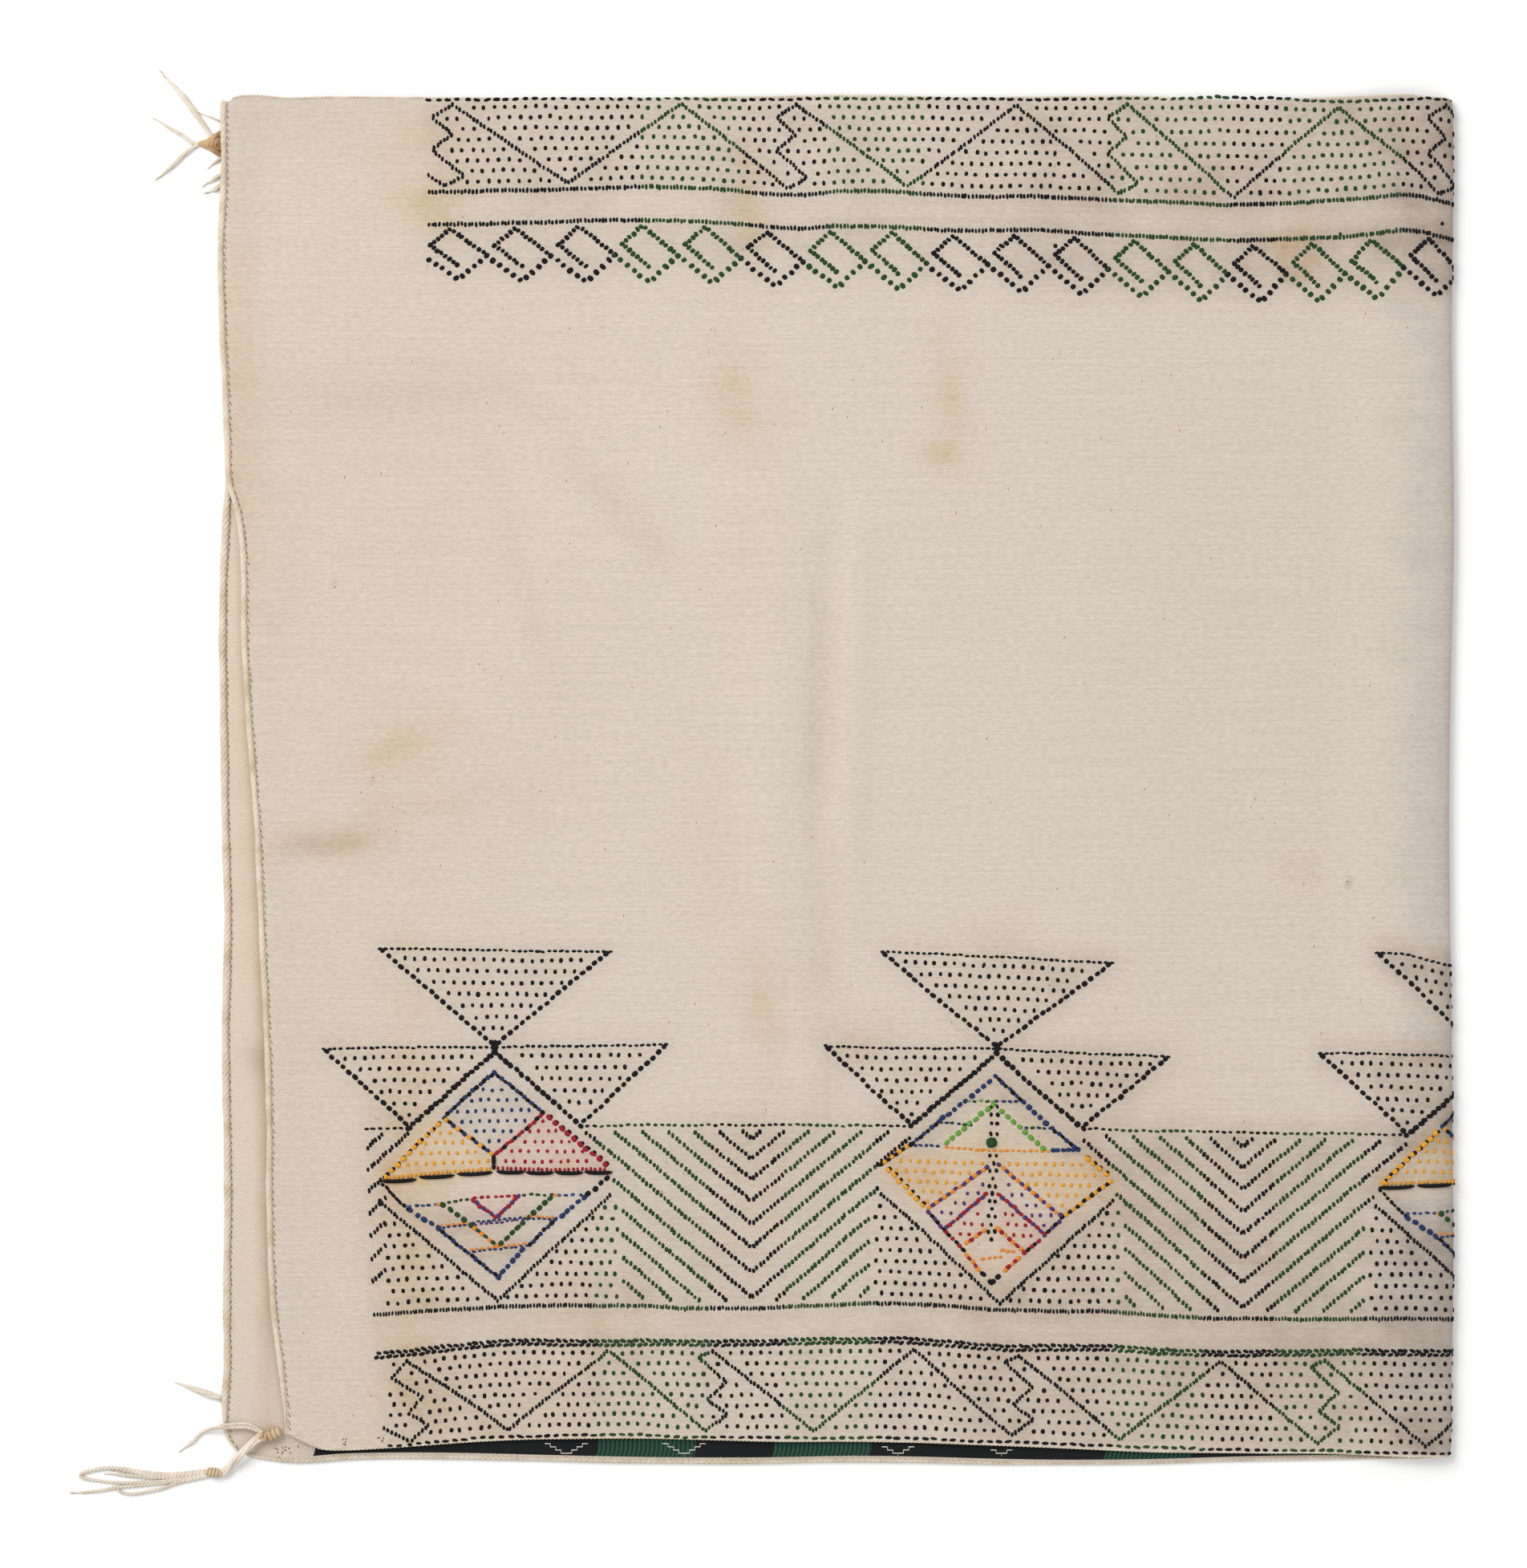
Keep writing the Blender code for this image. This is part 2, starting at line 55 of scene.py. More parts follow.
cloth = {
    "thickness": 1.2,
    "restHeight": 4.7,
    "foldHeight": 11.5,
    "noseHeight": 5.2,
    "topReach": 15.0,
    "underReach": 5.5,
    "openEndHeight": 6.4,
    "topHeight": 5.8,
    "lowerHeight": 1.0,
    "foldRise": 80.0,
    "openEndRise": 34.0,
    "topRise": 30.0,
    "width": 920.0,
    "sideInset": 3.2,
    "upperEdgeInset": 1.6,
    "lowerEdgeInset": 2.8,
    "upperColumns": 190,
    "foldColumns": 22,
    "lowerColumns": 90,
    "rows": 150,
    "ripple": 0.24,
    "thinFrom": 0.56,  # where the lower bottom edge starts to thin, as a share of the way to the fold
    "thinOver": 0.14,
    "thinning": 0.42,
}

# Outer lines at heights up the cloth: height, upper end cord, lower end cord, fold
sideLines = np.array(
    (
        (-512, -414.0, -443.0, 449.0),
        (-506, -414.2, -447.6, 456.5),
        (-500, -414.5, -454.0, 458.8),
        (-491, -414.6, -459.0, 459.2),
        (-470, -415.0, -460.6, 459.6),
        (-438, -418.8, -459.2, 459.8),
        (-388, -424.6, -459.6, 460.8),
        (-312, -427.0, -458.4, 460.8),
        (-261, -427.2, -459.6, 460.2),
        (-186, -429.0, -460.2, 459.6),
        (-106, -433.2, -458.8, 458.4),
        (-32, -436.2, -460.4, 457.8),
        (41, -442.2, -461.8, 458.4),
        (115, -445.8, -462.4, 460.0),
        (164, -446.4, -461.6, 461.2),
        (200, -450.6, -459.8, 461.4),
        (224, -457.2, -457.6, 461.2),
        (260, -458.4, -455.4, 460.6),
        (296, -460.2, -455.2, 460.0),
        (332, -462.0, -456.4, 459.6),
        (404, -463.2, -457.6, 460.4),
        (440, -461.4, -456.6, 460.8),
        (500, -461.4, -455.6, 460.4),
        (507, -460.6, -454.2, 458.6),
        (513, -457.0, -450.0, 453.0),
    )
)
upperEnd, lowerEnd, foldLine = 1, 2, 3

# Outer lines at shares of the way to the fold: share, upper top, upper bottom, lower top, lower bottom
edgeLines = np.array(
    (
        (0.000, 508.6, -490.6, 503.0, -503.5),
        (0.006, 511.6, -491.6, 506.4, -507.4),
        (0.016, 512.6, -496.0, 507.6, -509.4),
        (0.030, 512.0, -500.8, 507.6, -511.2),
        (0.050, 510.4, -501.8, 506.4, -511.4),
        (0.090, 511.4, -500.1, 507.0, -509.0),
        (0.165, 510.8, -495.4, 506.6, -508.6),
        (0.255, 510.6, -492.9, 506.6, -510.4),
        (0.345, 510.6, -493.5, 506.8, -512.0),
        (0.430, 511.4, -495.2, 507.4, -512.2),
        (0.515, 512.6, -495.4, 508.4, -511.0),
        (0.630, 510.9, -498.4, 507.0, -512.6),
        (0.750, 512.0, -502.8, 508.0, -512.4),
        (0.845, 508.6, -504.0, 505.4, -510.0),
        (0.900, 510.2, -504.0, 507.0, -509.2),
        (0.950, 512.0, -505.2, 509.0, -508.4),
        (0.985, 512.6, -506.2, 510.6, -507.9),
        (1.000, 510.8, -506.0, 509.6, -507.0),
    )
)
upperTop, upperBottom, lowerTop, lowerBottom = 1, 2, 3, 4

# Soft ridges and troughs of the upper layer: x, y, angle, half length, half width, rise
creases = (
    (-50, 20, 90, 230, 22, 2.4),
    (-10, 60, 88, 120, 11, -3.0),
    (12, 40, 88, 150, 13, 2.2),
    (-8, -130, 82, 70, 13, -2.0),
    (-18, -215, 78, 60, 16, 2.3),
    (-150, 190, -48, 62, 11, -2.8),
    (-186, 158, -47, 70, 18, 2.3),
    (10, 190, 2, 48, 5, 0.7),
    (-250, 40, 74, 210, 50, 1.7),
    (-420, 160, 84, 42, 14, 1.6),
    (-402, -36, 8, 52, 14, 2.2),
    (-404, -58, 6, 40, 9, -1.5),
    (-396, 292, 4, 90, 16, 0.9),
    (-192, -405, 86, 90, 18, 2.6),
    (-140, -430, 90, 70, 12, -1.2),
    (98, -420, 84, 80, 20, 2.5),
    (52, -440, 92, 60, 12, -1.2),
    (-40, -460, 96, 46, 20, 2.2),
    (250, -440, 88, 60, 24, 1.5),
    (350, -400, 94, 90, 22, 1.2),
    (190, 130, 94, 260, 50, 1.0),
    (300, 40, 84, 200, 40, -0.8),
    (-96, 440, 92, 70, 22, 2.3),
    (20, 448, 88, 60, 18, -1.0),
    (135, 430, 86, 80, 24, 2.4),
    (240, 450, 92, 60, 20, 1.2),
    (330, 455, 94, 60, 22, -1.1),
    (-240, 460, 88, 50, 22, 1.0),
)


def smoothRead(table, at, column):  # a smooth curve through a table's rows
    places, sizes = table[:, 0], table[:, column]
    slopes = np.zeros(len(places))
    slopes[1:-1] = (sizes[2:] - sizes[:-2]) / (places[2:] - places[:-2])
    at = np.clip(at, places[0], places[-1])
    i = np.clip(np.searchsorted(places, at, side="right") - 1, 0, len(places) - 2)
    span = places[i + 1] - places[i]
    t = (at - places[i]) / span
    start = (2 * t**3 - 3 * t**2 + 1) * sizes[i] + (t**3 - 2 * t**2 + t) * slopes[i] * span
    return start + (3 * t**2 - 2 * t**3) * sizes[i + 1] + (t**3 - t**2) * slopes[i + 1] * span


def sideAt(height, line, inset=0.0):
    lean = (smoothRead(sideLines, height + 1, line) - smoothRead(sideLines, height - 1, line)) / 2
    return smoothRead(sideLines, height, line) + inset * np.sqrt(1 + lean**2)


def edgeAt(share, line, inset=0.0):
    step = 0.002
    rise = smoothRead(edgeLines, share + step, line) - smoothRead(edgeLines, share - step, line)
    lean = rise / (2 * step * cloth["width"])
    return smoothRead(edgeLines, share, line) + inset * np.sqrt(1 + lean**2)


def ease(t):
    t = np.clip(t, 0, 1)
    return t * t * (3 - 2 * t)


def ripples(x, y):  # the slight unevenness of a handwoven cloth that lies flat
    waves = np.sin(x / 23 + 1.3 * np.sin(y / 71)) * np.sin(y / 31 + 0.9 * np.sin(x / 47))
    waves = waves + 0.6 * np.sin(x / 11 + y / 37) * np.sin(y / 13 - x / 53)
    return cloth["ripple"] * waves


def upperHeight(x, y, left, right, top):
    rise = ripples(x, y)
    for creaseX, creaseY, angle, halfLength, halfWidth, height in creases:
        turned = math.radians(angle)
        dx, dy = x - creaseX, y - creaseY
        along = (dx * math.cos(turned) + dy * math.sin(turned)) / halfLength
        across = (dy * math.cos(turned) - dx * math.sin(turned)) / halfWidth
        rise = rise + height * np.exp(-(along**4) - across**2)
    nearFold = 1 - ease((right - x) / cloth["foldRise"])
    nearOpen = 1 - ease((x - left) / cloth["openEndRise"])
    nearTop = 1 - ease((top - y) / cloth["topRise"])
    lifts = np.maximum(
        (cloth["foldHeight"] - cloth["restHeight"]) * nearFold,
        (cloth["openEndHeight"] - cloth["restHeight"]) * nearOpen,
    )
    lifts = np.maximum(lifts, (cloth["topHeight"] - cloth["restHeight"]) * nearTop)
    calm = 1 - np.maximum(np.maximum(nearFold, nearOpen), nearTop)
    return cloth["restHeight"] + rise * calm + lifts


def thinned(share):  # the lower layer's bottom cord is thinner towards the fold
    return 1 - cloth["thinning"] * ease((share - cloth["thinFrom"]) / cloth["thinOver"])


def lowerInset(share):
    return cloth["lowerEdgeInset"] * thinned(share)


def foldStart(y, reach):  # where a layer ends and the turn of the fold begins
    return sideAt(y, foldLine) - cloth["thickness"] / 2 - reach


def layerPoints(share, up, layer):
    upper = layer == "upper"
    inset = cloth["upperEdgeInset"] if upper else lowerInset(share)
    bottom = edgeAt(share, upperBottom if upper else lowerBottom, inset)
    top = edgeAt(share, upperTop if upper else lowerTop, -inset)
    y = bottom + (top - bottom) * up
    left = sideAt(y, upperEnd if upper else lowerEnd, cloth["sideInset"])
    right = foldStart(y, cloth["topReach"] if upper else cloth["underReach"])
    x = left + (right - left) * share
    if upper:
        z = upperHeight(x, y, left, right, top)
    else:
        z = np.full_like(x, cloth["lowerHeight"])
    return x, y, z


def foldPoints(startX, startY, endX, endY, turn):  # from the upper layer (0) round to the lower (1)
    angle = math.pi * turn
    over = turn < 0.5
    reach = np.where(over, cloth["topReach"], cloth["underReach"])
    drop = np.where(
        over, cloth["foldHeight"] - cloth["noseHeight"], cloth["noseHeight"] - cloth["lowerHeight"]
    )
    x = np.where(over, startX, endX) + reach * np.sin(angle)
    y = startY + (endY - startY) * turn
    return x, y, cloth["noseHeight"] + drop * np.cos(angle)


turns = np.linspace(0, 1, 201)
turnX, _, turnZ = foldPoints(0.0, 0.0, cloth["topReach"] - cloth["underReach"], 0.0, turns)
turnLengths = np.concatenate(([0], np.cumsum(np.hypot(np.diff(turnX), np.diff(turnZ)))))
foldLength = float(turnLengths[-1])
bottomAtFold = float(edgeAt(1.0, upperBottom, cloth["upperEdgeInset"]))
topAtFold = float(edgeAt(1.0, upperTop, -cloth["upperEdgeInset"]))


def onMiddle(s, v):
    # s runs along the cloth, as X on the upper layer and then on round the fold, and v runs up it
    left = sideAt(v, upperEnd, cloth["sideInset"])
    right = foldStart(v, cloth["topReach"])
    share = np.clip((s - left) / (right - left), 0, 1)
    top = edgeAt(share, upperTop, -cloth["upperEdgeInset"])
    upper = (s, v, upperHeight(s, v, left, right, top))
    up = (v - bottomAtFold) / (topAtFold - bottomAtFold)
    lowerStartY = edgeAt(1.0, lowerBottom, lowerInset(1.0)) * (1 - up)
    lowerStartY = lowerStartY + edgeAt(1.0, lowerTop, -cloth["lowerEdgeInset"]) * up
    lowerStartX = foldStart(lowerStartY, cloth["underReach"])
    turn = np.interp(s - right, turnLengths, turns)
    fold = foldPoints(right, v, lowerStartX, lowerStartY, turn)
    past = s - right - foldLength
    span = lowerStartX - sideAt(lowerStartY, lowerEnd, cloth["sideInset"])
    under = layerPoints(np.clip(1 - past / span, 0, 1), up, "lower")
    parts = [np.where(past > 0, low, np.where(s > right, turned, high))
             for high, turned, low in zip(upper, fold, under)]
    return np.stack(parts, axis=-1)


def onCloth(s, v, outside=True):  # places on a face of the cloth, with the directions along, up and out
    step = 0.5
    here = onMiddle(s, v)
    along = onMiddle(s + step, v) - onMiddle(s - step, v)
    upward = onMiddle(s, v + step) - onMiddle(s, v - step)
    along /= np.linalg.norm(along, axis=-1, keepdims=True)
    out = np.cross(along, upward)
    out /= np.linalg.norm(out, axis=-1, keepdims=True)
    upward = np.cross(out, along)
    if not outside:
        out = -out
    return here + out * cloth["thickness"] / 2, along, upward, out


# The brocade: where each stitch goes

brocade = {
    "start": -334.0,
    "startLean": -0.155,
    "highStartLean": -0.045,
    "end": 1320.0,
    "edgeRow": 0.0,
    "twinedRow": 71.0,
    "tickRow": 98.7,
    "bandTop": 234.0,
    "cloudRow": 292.0,
    "cloudTop": 363.6,
    "medallionMiddle": 197.8,
    "medallions": (-256.2, 119.4, 489.6, 856.2, 1231.8),
    "chevronShifts": (4.2, -1.2, 0.0, 0.0),
    "firstZigzag": -322.0,
    "zigzagUnit": 228.8,
    "fretPitch": 46.0,
    "fretCount": 34,
    "topDashRow": 2.4,
    "upperTickRow": 71.0,
    "lowerTickRow": 95.7,
    "fretTop": 99.4,
    "fretFoot": 137.2,
    "wander": 0.32,
    "dotPitch": 7.4,
    "dotRowPitch": 7.9,
    "strayDots": ((666, 94.0), (746, 86.5), (445, 106.0)),
}

# Where the dark yarn of each border is green and not black
lowGreenBlocks = (
    (-181, -95), (-40, 28), (205, 274), (328, 394), (525, 591), (650, 719), (895, 963), (1023, 1100)
)
highGreenBlocks = (
    (-148, -71), (-8, 64), (205, 292), (334, 421), (501, 588), (630, 717), (858, 930), (993, 1070)
)

# How the weaving wanders up and down. The rows of the bottom border at places along it:
# place, edge row, twined row, tick row, band top, cloud row, cloud top
lowRows = np.array(
    (
        (-386, -499.0, -432.0, -401.0, -262.0, -201.0, -125.0),
        (-350, -498.9, -431.1, -399.9, -261.3, -200.7, -125.7),
        (-254, -491.7, -421.8, -394.5, -258.9, -199.5, -127.2),
        (-158, -489.9, -420.9, -392.7, -258.3, -198.3, -128.7),
        (-110, -491.1, -420.9, -395.1, -258.3, -197.7, -128.7),
        (-26, -491.7, -420.3, -393.9, -258.3, -198.9, -128.1),
        (46, -492.6, -419.4, -391.5, -258.3, -200.1, -128.7),
        (118, -494.7, -423.9, -395.7, -260.1, -201.3, -132.6),
        (205, -497.7, -425.1, -398.1, -261.9, -205.5, -136.5),
        (280, -500.7, -429.3, -402.9, -263.1, -206.7, -135.3),
        (364, -501.9, -427.8, -402.9, -264.3, -204.3, -130.5),
        (424, -502.5, -427.5, -402.3, -265.5, -205.5, -130.5),
        (460, -502.5, -427.5, -402.3, -266.1, -206.1, -138.3),
        (560, -501.0, -427.0, -401.0, -264.0, -204.0, -131.0),
        (700, -497.0, -424.0, -398.0, -261.0, -201.0, -129.0),
        (900, -500.0, -427.0, -401.0, -264.0, -205.0, -133.0),
        (1100, -496.0, -423.0, -396.0, -260.0, -200.0, -128.0),
        (1330, -499.0, -428.0, -400.0, -262.0, -202.0, -128.0),
    )
)
lowLevels = ("edgeRow", "twinedRow", "tickRow", "bandTop", "cloudRow", "cloudTop")

# The rows of the top border: place, row of dashes, upper tick row, lower tick row, foot of the frets
highRows = np.array(
    (
        (-302, 509.1, 440.1, 415.5, 374.7),
        (-203, 509.1, 441.9, 417.9, 372.6),
        (-116, 509.1, 443.1, 417.9, 371.7),
        (-32, 509.4, 437.7, 413.1, 368.7),
        (8, 509.4, 441.3, 414.9, 368.1),
        (94, 509.1, 436.5, 410.7, 365.7),
        (150, 509.1, 435.9, 410.7, 363.9),
        (226, 509.7, 433.5, 407.1, 361.5),
        (295, 510.0, 430.5, 404.1, 357.9),
        (381, 507.3, 433.5, 405.9, 357.9),
        (424, 508.5, 437.1, 410.7, 360.9),
        (460, 509.1, 431.7, 404.7, 361.5),
        (560, 508.0, 434.0, 408.0, 362.0),
        (700, 506.0, 438.0, 413.0, 368.0),
        (900, 504.5, 434.0, 409.0, 365.0),
        (1060, 504.5, 439.0, 414.0, 371.0),
        (1235, 503.5, 438.0, 413.0, 372.0),
    )
)
highLevels = ("topDashRow", "upperTickRow", "lowerTickRow", "fretFoot")

# Stitches: length along its lean, width, height
stitchSizes = {
    "dot": (3.6, 3.0, 0.85),
    "smallDot": (3.2, 2.7, 0.75),
    "bead": (4.8, 3.7, 1.05),
    "roundBead": (4.9, 4.0, 1.1),
    "boldBead": (5.2, 4.0, 1.2),
    "fretBead": (4.7, 3.9, 1.1),
    "fretDot": (4.1, 3.4, 0.95),
    "edgeDash": (5.2, 2.6, 0.8),
    "dash": (3.6, 2.2, 0.8),
    "tick": (3.7, 2.4, 0.85),
    "longTick": (3.9, 2.7, 0.85),
    "leftTick": (4.0, 2.4, 0.85),
    "thinTick": (3.7, 1.8, 0.8),
    "lineTick": (3.8, 2.2, 0.8),
    "slant": (4.8, 2.8, 0.9),
    "rope": (4.3, 3.3, 1.0),
    "pair": (3.2, 1.9, 0.75),
    "tooth": (3.2, 2.2, 1.5),
    "shade": (3.9, 3.1, 0.9),
    "float": (26.8, 3.7, 1.2),
    "nearFloat": (21.2, 3.7, 1.2),
    "shortFloat": (11.6, 3.2, 1.1),
    "fleck": (2.0, 0.6, 0.12),
    "speck": (1.7, 1.1, 0.1),
    "knot": (8.6, 8.0, 3.2),
}
floatSizes = ("float", "nearFloat", "shortFloat")

# From one stitch of a line to the next
stitchPitches = {
    "edgeDash": 6.9,
    "tick": 3.1,
    "hookTick": 3.4,
    "lineTick": 2.6,
    "thinTick": 2.25,
    "slant": 4.8,
    "bandDash": 5.0,
    "cloudDash": 4.5,
    "bead": 5.8,
    "chevronTick": 3.5,
    "rope": 3.6,
    "longTick": 4.0,
    "dash": 4.6,
    "tooth": 3.3,
    "pair": 4.0,
    "float": 28.4,
    "nearFloat": 22.0,
    "shortFloat": 13.0,
}

# How far hand work strays: along the cloth, up it, the lean in degrees, the size as a share
strays = {"along": 0.28, "up": 0.22, "lean": 8, "size": 0.09, "dotAlong": 0.3, "dotUp": 0.2, "dotRow": 0.12}
stitchRows = []  # s, v, lean in degrees, size name, yarn name, on the outside


def waver(s, v):  # handwoven rows never run quite straight
    wave = np.sin(s / 41 + v / 83) + 0.7 * np.sin(s / 17 - v / 29 + 1.0) + 0.5 * np.sin(s / 9 + v / 19)
    return brocade["wander"] * wave


def betweenRows(table, levels, s, level):  # how high up the cloth a level lies at a place along it
    nominal = [brocade[name] for name in levels]
    heights = [smoothRead(table, s, n + 1) for n in range(len(levels))]
    v = heights[0] + (level - nominal[0]) * (heights[1] - heights[0]) / (nominal[1] - nominal[0])
    for n in range(1, len(levels) - 1):
        part = (level - nominal[n]) / (nominal[n + 1] - nominal[n])
        v = np.where(level > nominal[n], heights[n] + part * (heights[n + 1] - heights[n]), v)
    return v + waver(s, v)


def lowPlace(a, q):  # a place in the bottom border, q above its edge row
    return a, betweenRows(lowRows, lowLevels, a, q)


def highPlace(a, d):  # a place in the top border, d below its edge, a along it from the first fret's apex
    first, stride, gather, middle = -289.2, 48.3, 0.162, 16.43
    frets = a / brocade["fretPitch"]
    folded = np.where(frets > middle, 2 * middle - frets, frets)
    s = first + stride * folded - gather * folded**2
    half = first + stride * middle - gather * middle**2
    s = np.where(frets > middle, 2 * half - s, s)
    return s, betweenRows(highRows, highLevels, s, d)


def yarnFor(s, blocks):
    return "green" if any(start <= s <= end for start, end in blocks) else "black"


def sewAt(place, blocks, points, size, yarns=None, lean=None):
    if not len(points):
        return
    a, q, ways = np.array(points, float).T
    s, v = place(a, q)
    yarns = (yarns,) if isinstance(yarns, str) else yarns
    for n in range(len(a)):
        name = yarns[n % len(yarns)] if yarns else yarnFor(s[n], blocks)
        stitchRows.append((s[n], v[n], ways[n] if lean is None else lean, size, name, True))


def spacedAlong(line, pitch, skipEnds=False):  # even places along a line of straight runs
    line = np.array(line, float)
    runs = np.hypot(*np.diff(line, axis=0).T)
    lengths = np.concatenate(([0], np.cumsum(runs)))
    count = max(int(round(lengths[-1] / pitch)), 1)
    at = np.linspace(0, lengths[-1], count + 1)
    if skipEnds:
        at = (at[1:] + at[:-1]) / 2
    middle = np.clip(np.searchsorted(lengths, at, side="right") - 1, 0, len(runs) - 1)
    ways = np.degrees(np.arctan2(*np.diff(line, axis=0).T[::-1]))
    a = np.interp(at, lengths, line[:, 0])
    q = np.interp(at, lengths, line[:, 1])
    return list(zip(a, q, ways[middle]))


def farFrom(a, q, lines, gap):
    clear = np.ones(a.shape, bool)
    for line in lines:
        for (startA, startQ), (endA, endQ) in zip(line, line[1:]):
            way = np.array((endA - startA, endQ - startQ), float)
            t = ((a - startA) * way[0] + (q - startQ) * way[1]) / max(way @ way, 1e-9)
            t = np.clip(t, 0, 1)
            clear &= np.hypot(a - startA - t * way[0], q - startQ - t * way[1]) > gap
    return clear


def within(a, q, corners):  # inside a closed outline of straight sides
    inside = np.zeros(a.shape, bool)
    for (startA, startQ), (endA, endQ) in zip(corners, [*corners[1:], corners[0]]):
        crossing = (startQ > q) != (endQ > q)
        rise = endQ - startQ if endQ != startQ else 1e-9
        inside ^= crossing & (a < startA + (q - startQ) / rise * (endA - startA))
    return inside


def dotField(low, high, pitch=None, rowPitch=None):  # staggered rows of places, as uneven as hand work
    pitch = pitch or brocade["dotPitch"]
    rowPitch = rowPitch or brocade["dotRowPitch"]
    places = []
    for n, q in enumerate(np.arange(low[1], high[1] + 0.01, rowPitch)):
        shift = pitch * (0.5 * (n % 2) + dice.uniform(-strays["dotRow"], strays["dotRow"]))
        for a in np.arange(low[0] + shift, high[0], pitch):
            places.append((a + dice.normal(0, strays["dotAlong"]), q + dice.normal(0, strays["dotUp"])))
    return np.array(places).T


def sewField(place, blocks, a, q, keep, size="dot", yarn=None):
    sewAt(place, blocks, [(x, y, 90.0) for x, y in zip(a[keep], q[keep])], size, yarn)


def sewZigzag(place, blocks, starts, unit, high, low, hook, reach, dots):
    # long slanting lines with a stepped hook between them, kept clear of the ground's dots
    lines = []
    for start in starts:
        run = [(start, high), (start + 0.33 * unit, low), (start + 0.66 * unit, high)]
        steps = [(start + unit + a, q) for a, q in hook]
        lines.append([*run, (start + 0.975 * unit, low), *steps, (start + unit, high)])
    for line in lines:
        points = spacedAlong(line, stitchPitches["tick"])
        points = [point for point in points if reach[0] <= point[0] <= reach[1]]
        sewAt(place, blocks, points, "tick", lean=90.0)
    a, q = dots
    return farFrom(a, q, lines, 4.4) & (a > reach[0]) & (a < reach[1])


def sewTopBorder():
    pitch = brocade["fretPitch"]
    unit = 5.42 * pitch
    hook = ((8.2, 59.0), (-15.0, 39.3), (-0.6, 27.9), (-15.0, 15.3))
    firstTop = 1.5
    start, end = -15.5, (brocade["fretCount"] - 0.8) * pitch
    starts = [firstTop + n * unit for n in range(-1, 7)]
    dots = dotField((start + 2, 8.4), (end, 65.0))
    keep = sewZigzag(highPlace, highGreenBlocks, starts, unit, 6.3, 66.5, hook, (start, end), dots)
    firstHook = [(firstTop + a, q) for a, q in ((-3.5, 66.5), *hook, (0.0, 6.3))]
    leftOf = np.interp(dots[1], [q for _, q in reversed(firstHook)], [a for a, _ in reversed(firstHook)])
    sewField(highPlace, highGreenBlocks, *dots, keep & (dots[0] > leftOf + 4))
    row = brocade["topDashRow"]
    points = spacedAlong([(start, row), (end, row)], stitchPitches["edgeDash"])
    sewAt(highPlace, highGreenBlocks, points, "edgeDash", lean=0.0)
    for row in ("upperTickRow", "lowerTickRow"):
        points = spacedAlong([(start, brocade[row]), (end, brocade[row])], stitchPitches["lineTick"])
        sewAt(highPlace, highGreenBlocks, points, "lineTick", lean=90.0)
    for n in range(brocade["fretCount"]):
        apex, row = n * pitch, brocade["fretTop"]
        yarn = yarnFor(float(highPlace(apex, row)[0]), highGreenBlocks)
        foot = (apex + 5.2, brocade["fretFoot"])
        side = (apex + 25.7, row + 19.6)
        runs = (
            ([(apex - 14.9, row + 12), (apex, row), side], 3.7, "fretDot"),
            ([(apex - 14.9, row + 12), (apex + 4.6, row + 27)], 3.4, "fretDot"),
            ([(max(apex - 20.3, start), row + 19.6 + (0 if n else 3.6)), foot, side], 5.6, "fretBead"),
        )
        for line, gap, size in runs:
            points = [point for point in spacedAlong(line, gap) if point[0] < end]
            sewAt(highPlace, None, points, size, yarn)
    for a, d in brocade["strayDots"]:
        sewAt(highPlace, highGreenBlocks, [(a, d, 90.0)], "dot")


def sewClouds(centre):  # the triangles over a medallion, with one bold line down both sides of it
    row, top = brocade["cloudRow"], brocade["cloudTop"]
    foot, footRow = 64.4, brocade["bandTop"] + 1.5
    triangles = (
        [(-86.0, top), (86.0, top), (0.0, row + 1.5)],
        [(-128.4, row), (-2.0, row), (-foot, footRow)],
        [(2.0, row), (128.4, row), (foot, footRow)],
    )
    for n, triangle in enumerate(triangles):
        triangle = [(centre + a, q) for a, q in triangle]
        points = spacedAlong(triangle[:2], stitchPitches["cloudDash"])
        sewAt(lowPlace, None, points, "dash", "black", 0.0)
        sides = [(triangle[0], triangle[2]), (triangle[1], triangle[2])]
        if n:
            sides = sides[:1] if n == 1 else sides[1:]
        for side in sides:
            points = spacedAlong(side, stitchPitches["bead"], skipEnds=True)
            sewAt(lowPlace, None, points, "bead", "black")
        rowPitch = 8.4
        lowest = triangle[0][1] - 7.0 - 6 * rowPitch
        a, q = dotField((centre - 126, lowest), (centre + 128, triangle[0][1] - 6.0), 7.3, rowPitch)
        keep = within(a, q, triangle) & farFrom(a, q, [[*triangle, triangle[0]]], 4.2)
        sewField(lowPlace, None, a, q, keep, yarn="black")
    for way, lean, pitch in ((-1, 16.0, 4.5), (1, -52.0, 5.3)):
        line = [(centre, row - 3.5), (centre + way * foot, footRow - 1.5)]
        sewAt(lowPlace, None, spacedAlong(line, pitch), "boldBead", "black", lean)
    sewAt(lowPlace, None, [(centre, row, 0.0), (centre - 1.5, row + 3.5, 30.0)], "boldBead", "black")


